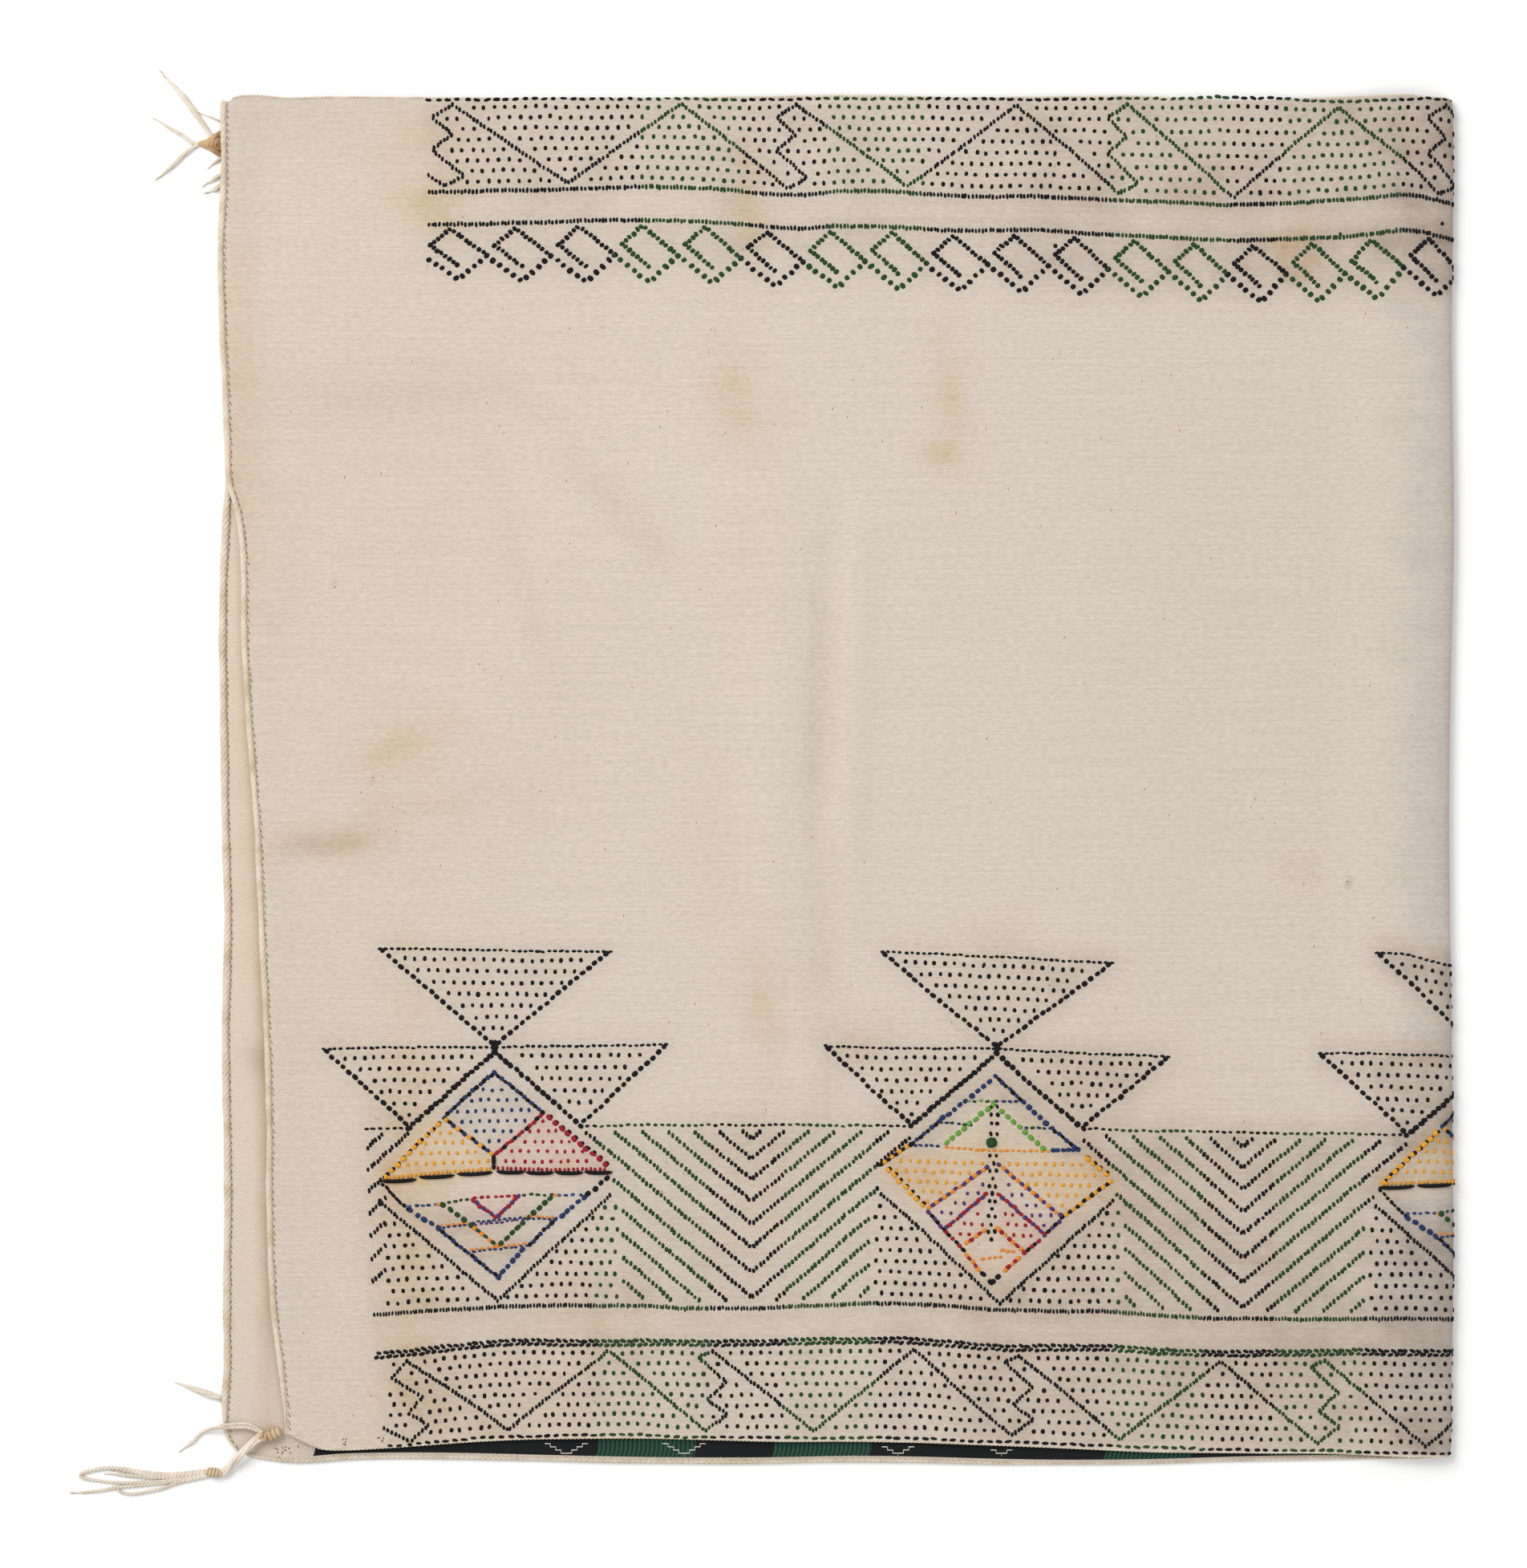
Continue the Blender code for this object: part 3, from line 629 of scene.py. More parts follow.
# The medallions. Each run of stitches: its way of working, its yarns, and its places from the centre
firstMedallion = (
    ("rope", "navy black", (-38.0, 43.8), (-0.8, 75.9), (35.7, 46.3)),
    ("shaded", "gold", (-40.4, 40.5), (-83.5, -0.5)),
    ("shaded", "red", (38.4, 44.0), (85.0, 5.5)),
    ("rope", "gold black navy", (-36.4, 42.0), (-2.6, 15.6)),
    ("rope", "red black red", (34.4, 43.6), (1.6, 15.6)),
    ("teeth", "gold", (-82.0, 0.2), (-3.4, 4.0)),
    ("teeth", "red", (2.4, 4.2), (82.0, 3.2)),
    ("floats", "black", (-86.0, -2.2), (-0.8, 2.0)),
    ("nearFloats", "black", (0.8, 2.0), (88.4, 1.2)),
    ("upright", "black", (-0.8, 14.6), (-0.8, 3.4)),
    ("ticks", "black", (-83.5, -4.7), (-64.9, -23.3)),
    ("beads", "navy", (-63.0, -24.6), (-42.6, -38.6)),
    ("rope", "navy black", (-42.1, -39.1), (2.6, -77.0)),
    ("beads", "black", (84.0, -3.4), (70.1, -15.0)),
    ("beads", "navy", (66.7, -17.8), (50.1, -31.5)),
    ("rope", "navy black", (45.3, -34.3), (26.0, -52.9)),
    ("beads", "navy", (20.5, -56.3), (2.6, -76.4)),
    ("dashes", "blue navy", (-63.5, -21.2), (-44.2, -21.2)),
    ("dashes", "orange", (-42.6, -21.4), (-41.6, -21.4)),
    ("dashes", "green", (-38.7, -20.5), (-20.8, -18.5)),
    ("dashes", "red", (-14.6, -17.1), (15.0, -16.0)),
    ("dashes", "green", (21.9, -15.4), (42.6, -15.4)),
    ("dashes", "orange", (44.4, -15.4), (45.4, -15.4)),
    ("dashes", "blue navy", (48.0, -15.7), (64.0, -15.7)),
    ("rope", "red purple", (-16.7, -19.1), (1.2, -32.2), (17.8, -16.4)),
    ("beads", "green", (-38.7, -21.9), (-18.0, -37.7)),
    ("rope", "green orange", (-18.0, -37.7), (1.2, -52.9)),
    ("beads", "green", (41.2, -17.8), (4.7, -51.0)),
    ("doubled", "orange navy", (-42.1, -37.9), (-18.7, -36.6)),
    ("doubled", "navy purple", (-18.0, -36.6), (21.0, -32.9)),
    ("doubled", "orange navy", (21.9, -32.4), (44.6, -33.4)),
    ("doubled", "orange navy", (-19.4, -56.8), (24.0, -52.6)),
)
secondMedallion = (
    ("rope", "navy black", (-1.2, 73.8), (20.2, 55.6)),
    ("beads", "navy", (-6.0, 69.7), (-40.4, 42.1)),
    ("rope", "navy black", (-43.2, 40.1), (-62.5, 22.9)),
    ("beads", "navy", (23.6, 52.1), (36.7, 40.1)),
    ("rope", "navy black", (40.8, 36.6), (60.8, 20.8)),
    ("dashes", "lime green", (-21.2, 55.6), (-3.2, 55.8)),
    ("dashes", "navy", (0.0, 55.8), (19.0, 55.6)),
    ("beads", "lime", (-2.6, 53.9), (-37.7, 24.0)),
    ("beads", "lime", (3.6, 48.3), (34.6, 21.5)),
    ("dashes", "green navy", (-41.8, 39.1), (-19.8, 38.0)),
    ("dashes", "green navy", (18.1, 37.1), (40.1, 36.2)),
    ("dashes", "navy", (-61.1, 21.5), (-44.6, 21.2)),
    ("dashes", "orange gold", (-37.7, 20.4), (38.5, 19.0)),
    ("rope", "navy", (42.1, 19.8), (60.5, 20.6)),
    ("rope", "black gold", (-64.6, 22.2), (-86.6, 6.3)),
    ("shaded", "gold", (-83.1, 4.3), (-53.5, -25.6)),
    ("shaded", "gold", (64.9, 16.0), (84.2, 1.5)),
    ("rope", "gold black", (84.9, -1.9), (49.1, -29.8)),
    ("rope", "purple orange", (-7.4, 6.7), (-50.8, -25.1)),
    ("rope", "purple orange", (1.6, 8.8), (47.0, -28.1)),
    ("rope", "red purple", (-8.1, -13.4), (-37.7, -39.4)),
    ("rope", "red purple", (1.6, -13.4), (35.3, -41.9)),
    ("rope", "orange red", (-9.4, -40.5), (-22.3, -49.9)),
    ("rope", "orange red", (0.9, -39.5), (20.9, -55.9)),
    ("rope", "purple black", (-50.8, -28.8), (-39.8, -41.2)),
    ("rope", "red black", (-38.6, -42.6), (-25.3, -55.2)),
    ("rope", "orange red", (-22.5, -59.1), (-14.3, -69.4)),
    ("beads", "black", (-10.6, -73.4), (-4.6, -78.8)),
    ("rope", "purple black", (46.3, -32.9), (36.0, -42.8)),
    ("rope", "red black", (31.2, -47.4), (20.9, -56.3)),
    ("rope", "orange red", (16.0, -60.9), (6.4, -69.7)),
    ("beads", "black", (0.9, -74.9), (-3.4, -78.0)),
    ("dashes", "orange", (-10.4, -61.6), (2.0, -60.0)),
    ("dashes", "orange", (4.0, -55.8), (11.6, -55.8)),
)
firstFields = (
    ("navy", [(-0.8, 75.9), (-38.0, 43.8), (-0.8, 14.6), (35.7, 46.3)]),
    ("gold", [(-38.0, 43.8), (-83.5, -0.5), (-1.8, 3.6), (-0.8, 14.6)]),
    ("red", [(35.7, 46.3), (-0.8, 14.6), (0.6, 3.6), (86.6, 4.3)]),
)
secondFields = (
    (
        "gold",
        [(-62.5, 20.5), (-86.6, 5.6), (-51.6, -26.0), (-2.4, 8.4), (49.0, -29.8), (84.9, -0.6), (61.0, 19.0)],
    ),
    ("purple", [(-51.6, -26.0), (-2.4, 8.4), (47.4, -29.0), (35.4, -41.4), (-2.0, -10.0), (-38.4, -40.0)]),
    ("red", [(-38.4, -40.0), (-2.0, -10.0), (35.4, -41.4), (19.8, -54.6), (-4.0, -35.0), (-22.8, -52.0)]),
)


# Ways of working a line with one kind of stitch: size, pitch, whether its ends stay free, lean
plainWays = {
    "rope": ("rope", "rope", False, None),
    "beads": ("roundBead", "bead", False, None),
    "ticks": ("longTick", "longTick", False, None),
    "dashes": ("dash", "dash", False, None),
    "teeth": ("tooth", "tooth", False, 84.0),
    "floats": ("float", "float", True, None),
    "nearFloats": ("nearFloat", "nearFloat", True, None),
    "upright": ("shortFloat", "shortFloat", True, None),
}


def sewRun(centre, way, yarns, places):  # one line of a medallion, in its way of working
    line = [(centre + a, brocade["medallionMiddle"] + q) for a, q in places]
    yarns = tuple(yarns.split())
    if way in plainWays:
        size, pitch, skipEnds, lean = plainWays[way]
        points = spacedAlong(line, stitchPitches[pitch], skipEnds)
        sewAt(lowPlace, None, points, size, yarns, lean)
    elif way == "shaded":
        points = spacedAlong(line, stitchPitches["bead"], skipEnds=True)
        sewAt(lowPlace, None, points, "roundBead", yarns)
        sewAt(lowPlace, None, [(a + 1.1, q + 1.0, lean) for a, q, lean in points], "shade", "black")
    elif way == "doubled":
        for shift, yarn in zip((0.85, -0.85), yarns):
            places = [(a, q + shift) for a, q in line]
            points = spacedAlong(places, stitchPitches["pair"], skipEnds=shift > 0)
            sewAt(lowPlace, None, points, "pair", yarn)


def sewMedallion(centre, runs, fields, columnX=None):
    for way, yarns, *places in runs:
        sewRun(centre, way, yarns, places)
    a, q = dotField((centre - 88, -74.0), (centre + 90, 78.0), pitch=6.7, rowPitch=7.6)
    for yarn, outline in fields:
        outline = [(centre + x, y) for x, y in outline]
        keep = within(a, q, outline) & farFrom(a, q, [[*outline, outline[0]]], 3.4)
        if columnX is not None:
            keep &= np.abs(a - centre - columnX) > 5.4
        sewField(lowPlace, None, a, q + brocade["medallionMiddle"], keep, "smallDot", yarn)


def sewColumn(centre):  # the black dots down the middle of a second medallion, and its raised green knot
    spots = [(level, True) for level in (51.8, 46.0, 39.4, 31.8)]
    spots += [(16.0 - 5.75 * n, n % 2 == 0) for n in range(12)]
    middle = brocade["medallionMiddle"]
    for level, paired in spots:
        at = centre - 3.1 + 0.028 * level
        for shift in (-2.4, 2.4) if paired else (0.0,):
            sewAt(lowPlace, None, [(at + shift, middle + level, 90.0)], "dot", "black")
    sewAt(lowPlace, None, [(centre - 4.0, middle + 25.3, 90.0)], "knot", "green")


def sewMedallionGround(centre, start, end):
    # the deep V round a medallion's foot, with dots between it and the row below
    wide, high, low = 86.6, 181.6, 103.2
    line = [(centre - wide, high), (centre + 2.4, low), (centre + wide, high)]
    points = spacedAlong(line, stitchPitches["tick"])
    points = [point for point in points if start(point[1]) < point[0] < end]
    sewAt(lowPlace, None, points, "tick", "black", 90.0)
    a, q = dotField((centre - 94, brocade["tickRow"] + 7.4), (centre + 94, 178), rowPitch=8.3)
    below = low + np.abs(a - centre) / wide * (high - low)
    keep = (q < below - 5.0) & (np.abs(a - centre) < 93) & (a > start(q) + 10) & (a < end)
    sewField(lowPlace, lowGreenBlocks, a, q, keep)


def sewChevrons(leftCentre, rightCentre, shift, start, end):
    # nested V lines between two medallions
    middle = (leftCentre + rightCentre) / 2 + shift
    slope, bandTop, tickRow = 0.84, brocade["bandTop"], brocade["tickRow"]
    firstApex, step, widening, lastFull, wideStep = 223.6, 14.6, 0.3, 7, 17.5
    clearances = {6: 64.0, 7: 88.0}
    for n in range(12):
        full = min(n, lastFull)
        apex = firstApex - step * full - widening * full * full - wideStep * (n - full)
        for way, centre in ((-1, leftCentre), (1, rightCentre)):
            first = max(0.0, (tickRow + 5 - apex) / slope)
            last = (bandTop - 4.0 - apex) / slope
            last = min(last, abs(centre - middle) - clearances.get(n, 0.0 if n < 6 else 95.0))
            line = [(middle + way * reach, apex + reach * slope) for reach in (first, last)]
            points = spacedAlong(line, stitchPitches["chevronTick"], skipEnds=True)
            points = [point for point in points if start(point[1]) < point[0] < end]
            sewAt(lowPlace, lowGreenBlocks, points, "longTick", lean=way * 100.0)
    line = [(leftCentre + 64.4, bandTop), (rightCentre - 64.4, bandTop)]
    points = spacedAlong(line, stitchPitches["bandDash"])
    points = [point for point in points if start(point[1]) < point[0] < end]
    sewAt(lowPlace, lowGreenBlocks, points, "dash", lean=0.0)


def lowStart(q):  # where the bottom border starts, q above its edge row
    low, high = np.minimum(q, brocade["twinedRow"]), np.maximum(q - brocade["twinedRow"], 0)
    return brocade["start"] + brocade["startLean"] * low + brocade["highStartLean"] * high


def sewLeftEnd():  # the short ends of lines that show left of the first medallion
    for level, rise, reach in ((220.1, 0.85, 11), (204.5, 0.85, 30), (189.0, 0.85, 11), (173.1, 0.9, 11),
                               (156.6, 0.85, 10), (139.6, 0.85, 10), (123.1, 0.85, 9)):
        left = lowStart(level)
        line = [(left, level), (left + reach, level + rise * reach)]
        sewAt(lowPlace, None, spacedAlong(line, stitchPitches["tick"]), "leftTick", "black", -78.0)


def sewBottomBorder():
    start, end = lowStart, brocade["end"]
    centres = brocade["medallions"]
    for n, centre in enumerate(centres):
        sewClouds(centre)
        if n % 2:
            sewMedallion(centre, secondMedallion, secondFields, columnX=-3.0)
            sewColumn(centre)
        else:
            sewMedallion(centre, firstMedallion, firstFields)
        sewMedallionGround(centre, start, end)
    for leftCentre, rightCentre, shift in zip(centres, centres[1:], brocade["chevronShifts"]):
        sewChevrons(leftCentre, rightCentre, shift, start, end)
    sewLeftEnd()
    row = brocade["bandTop"]
    points = spacedAlong([(start(row), row), (centres[0] - 64.4, row)], stitchPitches["bandDash"])
    sewAt(lowPlace, None, points, "dash", "black", 0.0)
    unit, firstTop = brocade["zigzagUnit"], brocade["firstZigzag"]
    hook = ((11.4, 17.4), (-4.2, 28.2), (10.2, 42.0), (-10.8, 60.6))
    starts = [firstTop + n * unit for n in range(8)]
    reach = (start(40), end)
    dots = dotField((start(0), 8.0), (end, 66.0))
    keep = sewZigzag(lowPlace, lowGreenBlocks, starts, unit, 65.0, 5.0, hook, reach, dots)
    endHook = ((0, 65), (-11.4, 52.8), (12, 36), (1.2, 24.6), (16.2, 13.8), (2.4, 2.6), (-17.4, 14.4))
    firstHook = [(firstTop + a, q) for a, q in endHook]
    sewAt(lowPlace, None, spacedAlong(firstHook, stitchPitches["hookTick"]), "tick", "black", 90.0)
    keep &= farFrom(*dots, [firstHook], 4.4)
    sewField(lowPlace, lowGreenBlocks, *dots, keep)
    points = spacedAlong([(start(0), 0.0), (end, 0.0)], stitchPitches["edgeDash"])
    sewAt(lowPlace, lowGreenBlocks, points, "edgeDash", lean=0.0)
    row = brocade["tickRow"]
    points = spacedAlong([(start(row), row), (end, row)], stitchPitches["thinTick"])
    sewAt(lowPlace, lowGreenBlocks, points, "thinTick", lean=90.0)
    for shift, lean in ((1.45, -22.0), (-1.45, 22.0)):
        row = brocade["twinedRow"] + shift
        points = spacedAlong([(start(row), row), (end, row)], stitchPitches["slant"], skipEnds=shift > 0)
        sewAt(lowPlace, lowGreenBlocks, points, "slant", lean=lean)


def scatterFlecks():  # husk and slubs in the cotton, and small spots of soil
    for _ in range(170):
        s, v = dice.uniform(-410, 440), dice.uniform(-480, 490)
        stitchRows.append((s, v, dice.normal(92, 12), "fleck", "brown", True))
    for s, v, outside in ((-368, -495, True), (-342, -493, True), (1334, -495, False), (1337, -502, False),
                          (1341, -497, False)):
        for _ in range(5):
            place = s + dice.normal(0, 2.6), v + dice.normal(0, 2.0)
            stitchRows.append((*place, dice.uniform(0, 180), "speck", "soil", outside))
    for s, v in ((-375.6, 144.3), (-346.8, 1.5), (381.6, -76.5)):
        stitchRows.append((s, v, dice.uniform(0, 180), "speck", "brown", True))


print("sewing the borders")
sewTopBorder()
sewBottomBorder()
scatterFlecks()
print("stitches placed:", len(stitchRows))


# Yarn and cloth finishes

finish = {
    "warpPitch": 1.12,
    "weftPitch": 1.5,
    "weaveDrift": 1.8,
    "clothColour": colour(224, 213, 201),
    "grooveShadeColour": colour(175, 160, 142),
    "yarns": {
        "black": colour(19, 18, 20),
        "green": colour(34, 66, 37),
        "gold": colour(216, 150, 40),
        "red": colour(150, 28, 38),
        "navy": colour(36, 50, 92),
        "blue": colour(52, 78, 132),
        "purple": colour(78, 50, 104),
        "orange": colour(222, 130, 44),
        "lime": colour(98, 150, 58),
        "white": colour(226, 216, 200),
        "brown": colour(142, 112, 84),
        "soil": colour(132, 84, 62),
    },
}


def newMaterial(name, roughness, sheen):
    material = bpy.data.materials.new(name)
    material.use_nodes = True
    shader = material.node_tree.nodes["Principled BSDF"]
    shader.inputs["Roughness"].default_value = roughness
    shader.inputs["Sheen Weight"].default_value = sheen
    shader.inputs["Sheen Roughness"].default_value = 0.6
    shader.inputs["Specular IOR Level"].default_value = 0.2
    return material, material.node_tree.nodes, material.node_tree.links, shader


def mathNode(nodes, links, operation, first, second=None, clamp=False):
    node = nodes.new("ShaderNodeMath")
    node.operation = operation
    node.use_clamp = clamp
    for socket, value in zip(node.inputs, (first, second)):
        if value is None:
            continue
        if isinstance(value, (int, float)):
            socket.default_value = value
        else:
            links.new(value, socket)
    return node.outputs[0]


def mixNode(nodes, links, share, first, second, blend="MIX"):
    node = nodes.new("ShaderNodeMix")
    node.data_type = "RGBA"
    node.blend_type = blend
    for socket, value in zip((node.inputs[0], node.inputs[6], node.inputs[7]), (share, first, second)):
        if isinstance(value, (int, float, tuple)):
            socket.default_value = value
        else:
            links.new(value, socket)
    return node.outputs[2]


def plainWeaveGroup():
    group = bpy.data.node_groups.new("plainWeave", "ShaderNodeTree")
    group.interface.new_socket("Flat Place", in_out="INPUT", socket_type="NodeSocketVector")
    for name, default in (("Warp Pitch", 0.0012), ("Weft Pitch", 0.0015), ("Unevenness", 1.0)):
        socket = group.interface.new_socket(name, in_out="INPUT", socket_type="NodeSocketFloat")
        socket.default_value = default
    group.interface.new_socket("Height", in_out="OUTPUT", socket_type="NodeSocketFloat")
    group.interface.new_socket("Slub", in_out="OUTPUT", socket_type="NodeSocketFloat")
    nodes, links = group.nodes, group.links
    inside, outside = nodes.new("NodeGroupInput"), nodes.new("NodeGroupOutput")
    place = nodes.new("ShaderNodeSeparateXYZ")
    links.new(inside.outputs["Flat Place"], place.inputs[0])
    drift = nodes.new("ShaderNodeTexNoise")
    drift.inputs["Scale"].default_value = 150.0
    drift.inputs["Detail"].default_value = 2.0
    links.new(inside.outputs["Flat Place"], drift.inputs["Vector"])
    spread = nodes.new("ShaderNodeSeparateColor")
    links.new(drift.outputs["Color"], spread.inputs[0])
    waves = []
    for axis, pitch in ((0, "Warp Pitch"), (1, "Weft Pitch")):
        pushed = mathNode(nodes, links, "SUBTRACT", spread.outputs[axis], 0.5)
        pushed = mathNode(nodes, links, "MULTIPLY", pushed, inside.outputs["Unevenness"])
        turnsAlong = mathNode(nodes, links, "DIVIDE", place.outputs[axis], inside.outputs[pitch])
        turnsAlong = mathNode(nodes, links, "ADD", turnsAlong, pushed)
        angle = mathNode(nodes, links, "MULTIPLY", turnsAlong, math.pi)
        waves.append(mathNode(nodes, links, "COSINE", angle))
    crossed = mathNode(nodes, links, "MULTIPLY", waves[0], waves[1])
    over = mathNode(nodes, links, "MULTIPLY_ADD", crossed, 0.5)
    over.node.inputs[2].default_value = 0.5
    over = mathNode(nodes, links, "POWER", over, 0.6)
    rows = mathNode(nodes, links, "MULTIPLY", mathNode(nodes, links, "MULTIPLY", waves[1], waves[1]), 0.3)
    over = mathNode(nodes, links, "ADD", mathNode(nodes, links, "MULTIPLY", over, 0.75), rows)
    slub = nodes.new("ShaderNodeTexNoise")
    slub.inputs["Scale"].default_value = 1.0
    slub.inputs["Detail"].default_value = 3.0
    stretch = nodes.new("ShaderNodeMapping")
    stretch.inputs["Scale"].default_value = (190.0, 420.0, 1.0)
    links.new(inside.outputs["Flat Place"], stretch.inputs["Vector"])
    links.new(stretch.outputs[0], slub.inputs["Vector"])
    lumpy = mathNode(nodes, links, "MULTIPLY_ADD", slub.outputs[0], 0.8)
    lumpy.node.inputs[2].default_value = 0.6
    links.new(mathNode(nodes, links, "MULTIPLY", over, lumpy), outside.inputs["Height"])
    links.new(slub.outputs[0], outside.inputs["Slub"])
    return group


def useWeave(nodes, weave):
    node = nodes.new("ShaderNodeGroup")
    node.node_tree = weave
    node.inputs["Warp Pitch"].default_value = finish["warpPitch"] * mm
    node.inputs["Weft Pitch"].default_value = finish["weftPitch"] * mm
    node.inputs["Unevenness"].default_value = finish["weaveDrift"]
    return node


def makeClothMaterial(weave):
    material, nodes, links, shader = newMaterial("handwovenCotton", 0.92, 0.12)
    flat = nodes.new("ShaderNodeUVMap")
    flat.uv_map = "flatPlace"
    woven = useWeave(nodes, weave)
    links.new(flat.outputs[0], woven.inputs["Flat Place"])
    tone = nodes.new("ShaderNodeAttribute")
    tone.attribute_name = "clothTone"
    # painted shade: the weave's low places, between the yarns, are darkened towards the groove shade colour
    share = mathNode(nodes, links, "POWER", woven.outputs["Height"], 0.8, clamp=True)
    base = mixNode(nodes, links, share, finish["grooveShadeColour"], finish["clothColour"])
    stretch = nodes.new("ShaderNodeMapping")
    stretch.inputs["Scale"].default_value = (8.0, 480.0, 1.0)
    links.new(flat.outputs[0], stretch.inputs["Vector"])
    bars = nodes.new("ShaderNodeTexNoise")
    bars.inputs["Scale"].default_value = 1.0
    bars.inputs["Detail"].default_value = 2.0
    links.new(stretch.outputs[0], bars.inputs["Vector"])
    uneven = mathNode(nodes, links, "ADD", woven.outputs["Slub"], bars.outputs[0])
    slubbed = mathNode(nodes, links, "MULTIPLY_ADD", uneven, 0.18)
    slubbed.node.inputs[2].default_value = 0.82
    patches = nodes.new("ShaderNodeTexNoise")
    patches.inputs["Scale"].default_value = 38.0
    patches.inputs["Detail"].default_value = 8.0
    patches.inputs["Roughness"].default_value = 0.65
    links.new(flat.outputs[0], patches.inputs["Vector"])
    patchy = mathNode(nodes, links, "MULTIPLY_ADD", patches.outputs[0], 1.8)
    patchy.node.inputs[2].default_value = 0.1
    # the tone attribute: stains and paler places, with the painted shade and painted light of the tone table,
    # mottled by noise
    soiled = mixNode(nodes, links, patchy, (1.0, 1.0, 1.0, 1.0), tone.outputs["Color"])
    soiled.node.clamp_factor = False
    base = mixNode(nodes, links, 1.0, base, soiled, "MULTIPLY")
    grey = nodes.new("ShaderNodeCombineColor")
    for socket in grey.inputs:
        links.new(slubbed, socket)
    base = mixNode(nodes, links, 1.0, base, grey.outputs[0], "MULTIPLY")
    links.new(base, shader.inputs["Base Color"])
    bump = nodes.new("ShaderNodeBump")
    bump.inputs["Strength"].default_value = 0.55
    bump.inputs["Distance"].default_value = 0.35 * mm
    links.new(woven.outputs["Height"], bump.inputs["Height"])
    links.new(bump.outputs[0], shader.inputs["Normal"])
    return material


def makeYarnMaterial(name, tint):
    material, nodes, links, shader = newMaterial(name + "Yarn", 0.9, 0.0)
    place = nodes.new("ShaderNodeTexCoord")
    fibre = nodes.new("ShaderNodeTexNoise")
    fibre.inputs["Scale"].default_value = 900.0
    fibre.inputs["Detail"].default_value = 3.0
    links.new(place.outputs["Object"], fibre.inputs["Vector"])
    patches = nodes.new("ShaderNodeTexNoise")
    patches.inputs["Scale"].default_value = 45.0
    links.new(place.outputs["Object"], patches.inputs["Vector"])
    lifted = tuple(min(value * 1.5 + 0.004, 1.0) for value in tint[:3]) + (1.0,)
    deepened = tuple(value * 0.72 for value in tint[:3]) + (1.0,)
    base = mixNode(nodes, links, fibre.outputs[0], deepened, lifted)
    base = mixNode(nodes, links, mathNode(nodes, links, "MULTIPLY", patches.outputs[0], 0.5), base, tint)
    links.new(base, shader.inputs["Base Color"])
    bump = nodes.new("ShaderNodeBump")
    bump.inputs["Strength"].default_value = 0.5
    bump.inputs["Distance"].default_value = 0.3 * mm
    links.new(fibre.outputs[0], bump.inputs["Height"])
    links.new(bump.outputs[0], shader.inputs["Normal"])
    return material


def makeCordMaterial(name, pale, soiled):
    # twisted cotton: fine fibres along each ply, and soiled patches
    material, nodes, links, shader = newMaterial(name + "Cotton", 0.92, 0.1)
    along = nodes.new("ShaderNodeUVMap")
    along.uv_map = "alongYarn"
    stretch = nodes.new("ShaderNodeMapping")
    stretch.inputs["Scale"].default_value = (260.0, 2600.0, 1.0)
    links.new(along.outputs[0], stretch.inputs["Vector"])
    fibre = nodes.new("ShaderNodeTexNoise")
    fibre.inputs["Scale"].default_value = 1.0
    fibre.inputs["Detail"].default_value = 3.0
    links.new(stretch.outputs[0], fibre.inputs["Vector"])
    place = nodes.new("ShaderNodeTexCoord")
    patches = nodes.new("ShaderNodeTexNoise")
    patches.inputs["Scale"].default_value = 70.0
    patches.inputs["Detail"].default_value = 3.0
    links.new(place.outputs["Object"], patches.inputs["Vector"])
    soil = mathNode(nodes, links, "MULTIPLY_ADD", patches.outputs[0], 2.4)
    soil.node.inputs[2].default_value = -0.95
    soil = mathNode(nodes, links, "MULTIPLY", soil, 0.8, clamp=True)
    base = mixNode(nodes, links, soil, pale, soiled)
    shadeOfFibre = mathNode(nodes, links, "MULTIPLY_ADD", fibre.outputs[0], 0.5)
    shadeOfFibre.node.inputs[2].default_value = 0.72
    grey = nodes.new("ShaderNodeCombineColor")
    for socket in grey.inputs:
        links.new(shadeOfFibre, socket)
    base = mixNode(nodes, links, 1.0, base, grey.outputs[0], "MULTIPLY")
    links.new(base, shader.inputs["Base Color"])
    bump = nodes.new("ShaderNodeBump")
    bump.inputs["Strength"].default_value = 0.6
    bump.inputs["Distance"].default_value = 0.25 * mm
    links.new(fibre.outputs[0], bump.inputs["Height"])
    links.new(bump.outputs[0], shader.inputs["Normal"])
    return material


brocadeFront = {
    "span": (-336, 1306),
    "lowBands": ((0.4, 71.0), (98.7, 234.0)),
    "topBands": ((0.4, 71.0), (95.7, 140.0)),
    "alongReach": (-470.0, 1400.0),
    "upReach": (-10.0, 1030.0),
    "ribPitch": 3.3,
    "threadPitch": 2.2,
    "threadRise": 1.5,
    "greenYarn": colour(46, 104, 82),
    "ribShadeColour": colour(14, 18, 19),
}


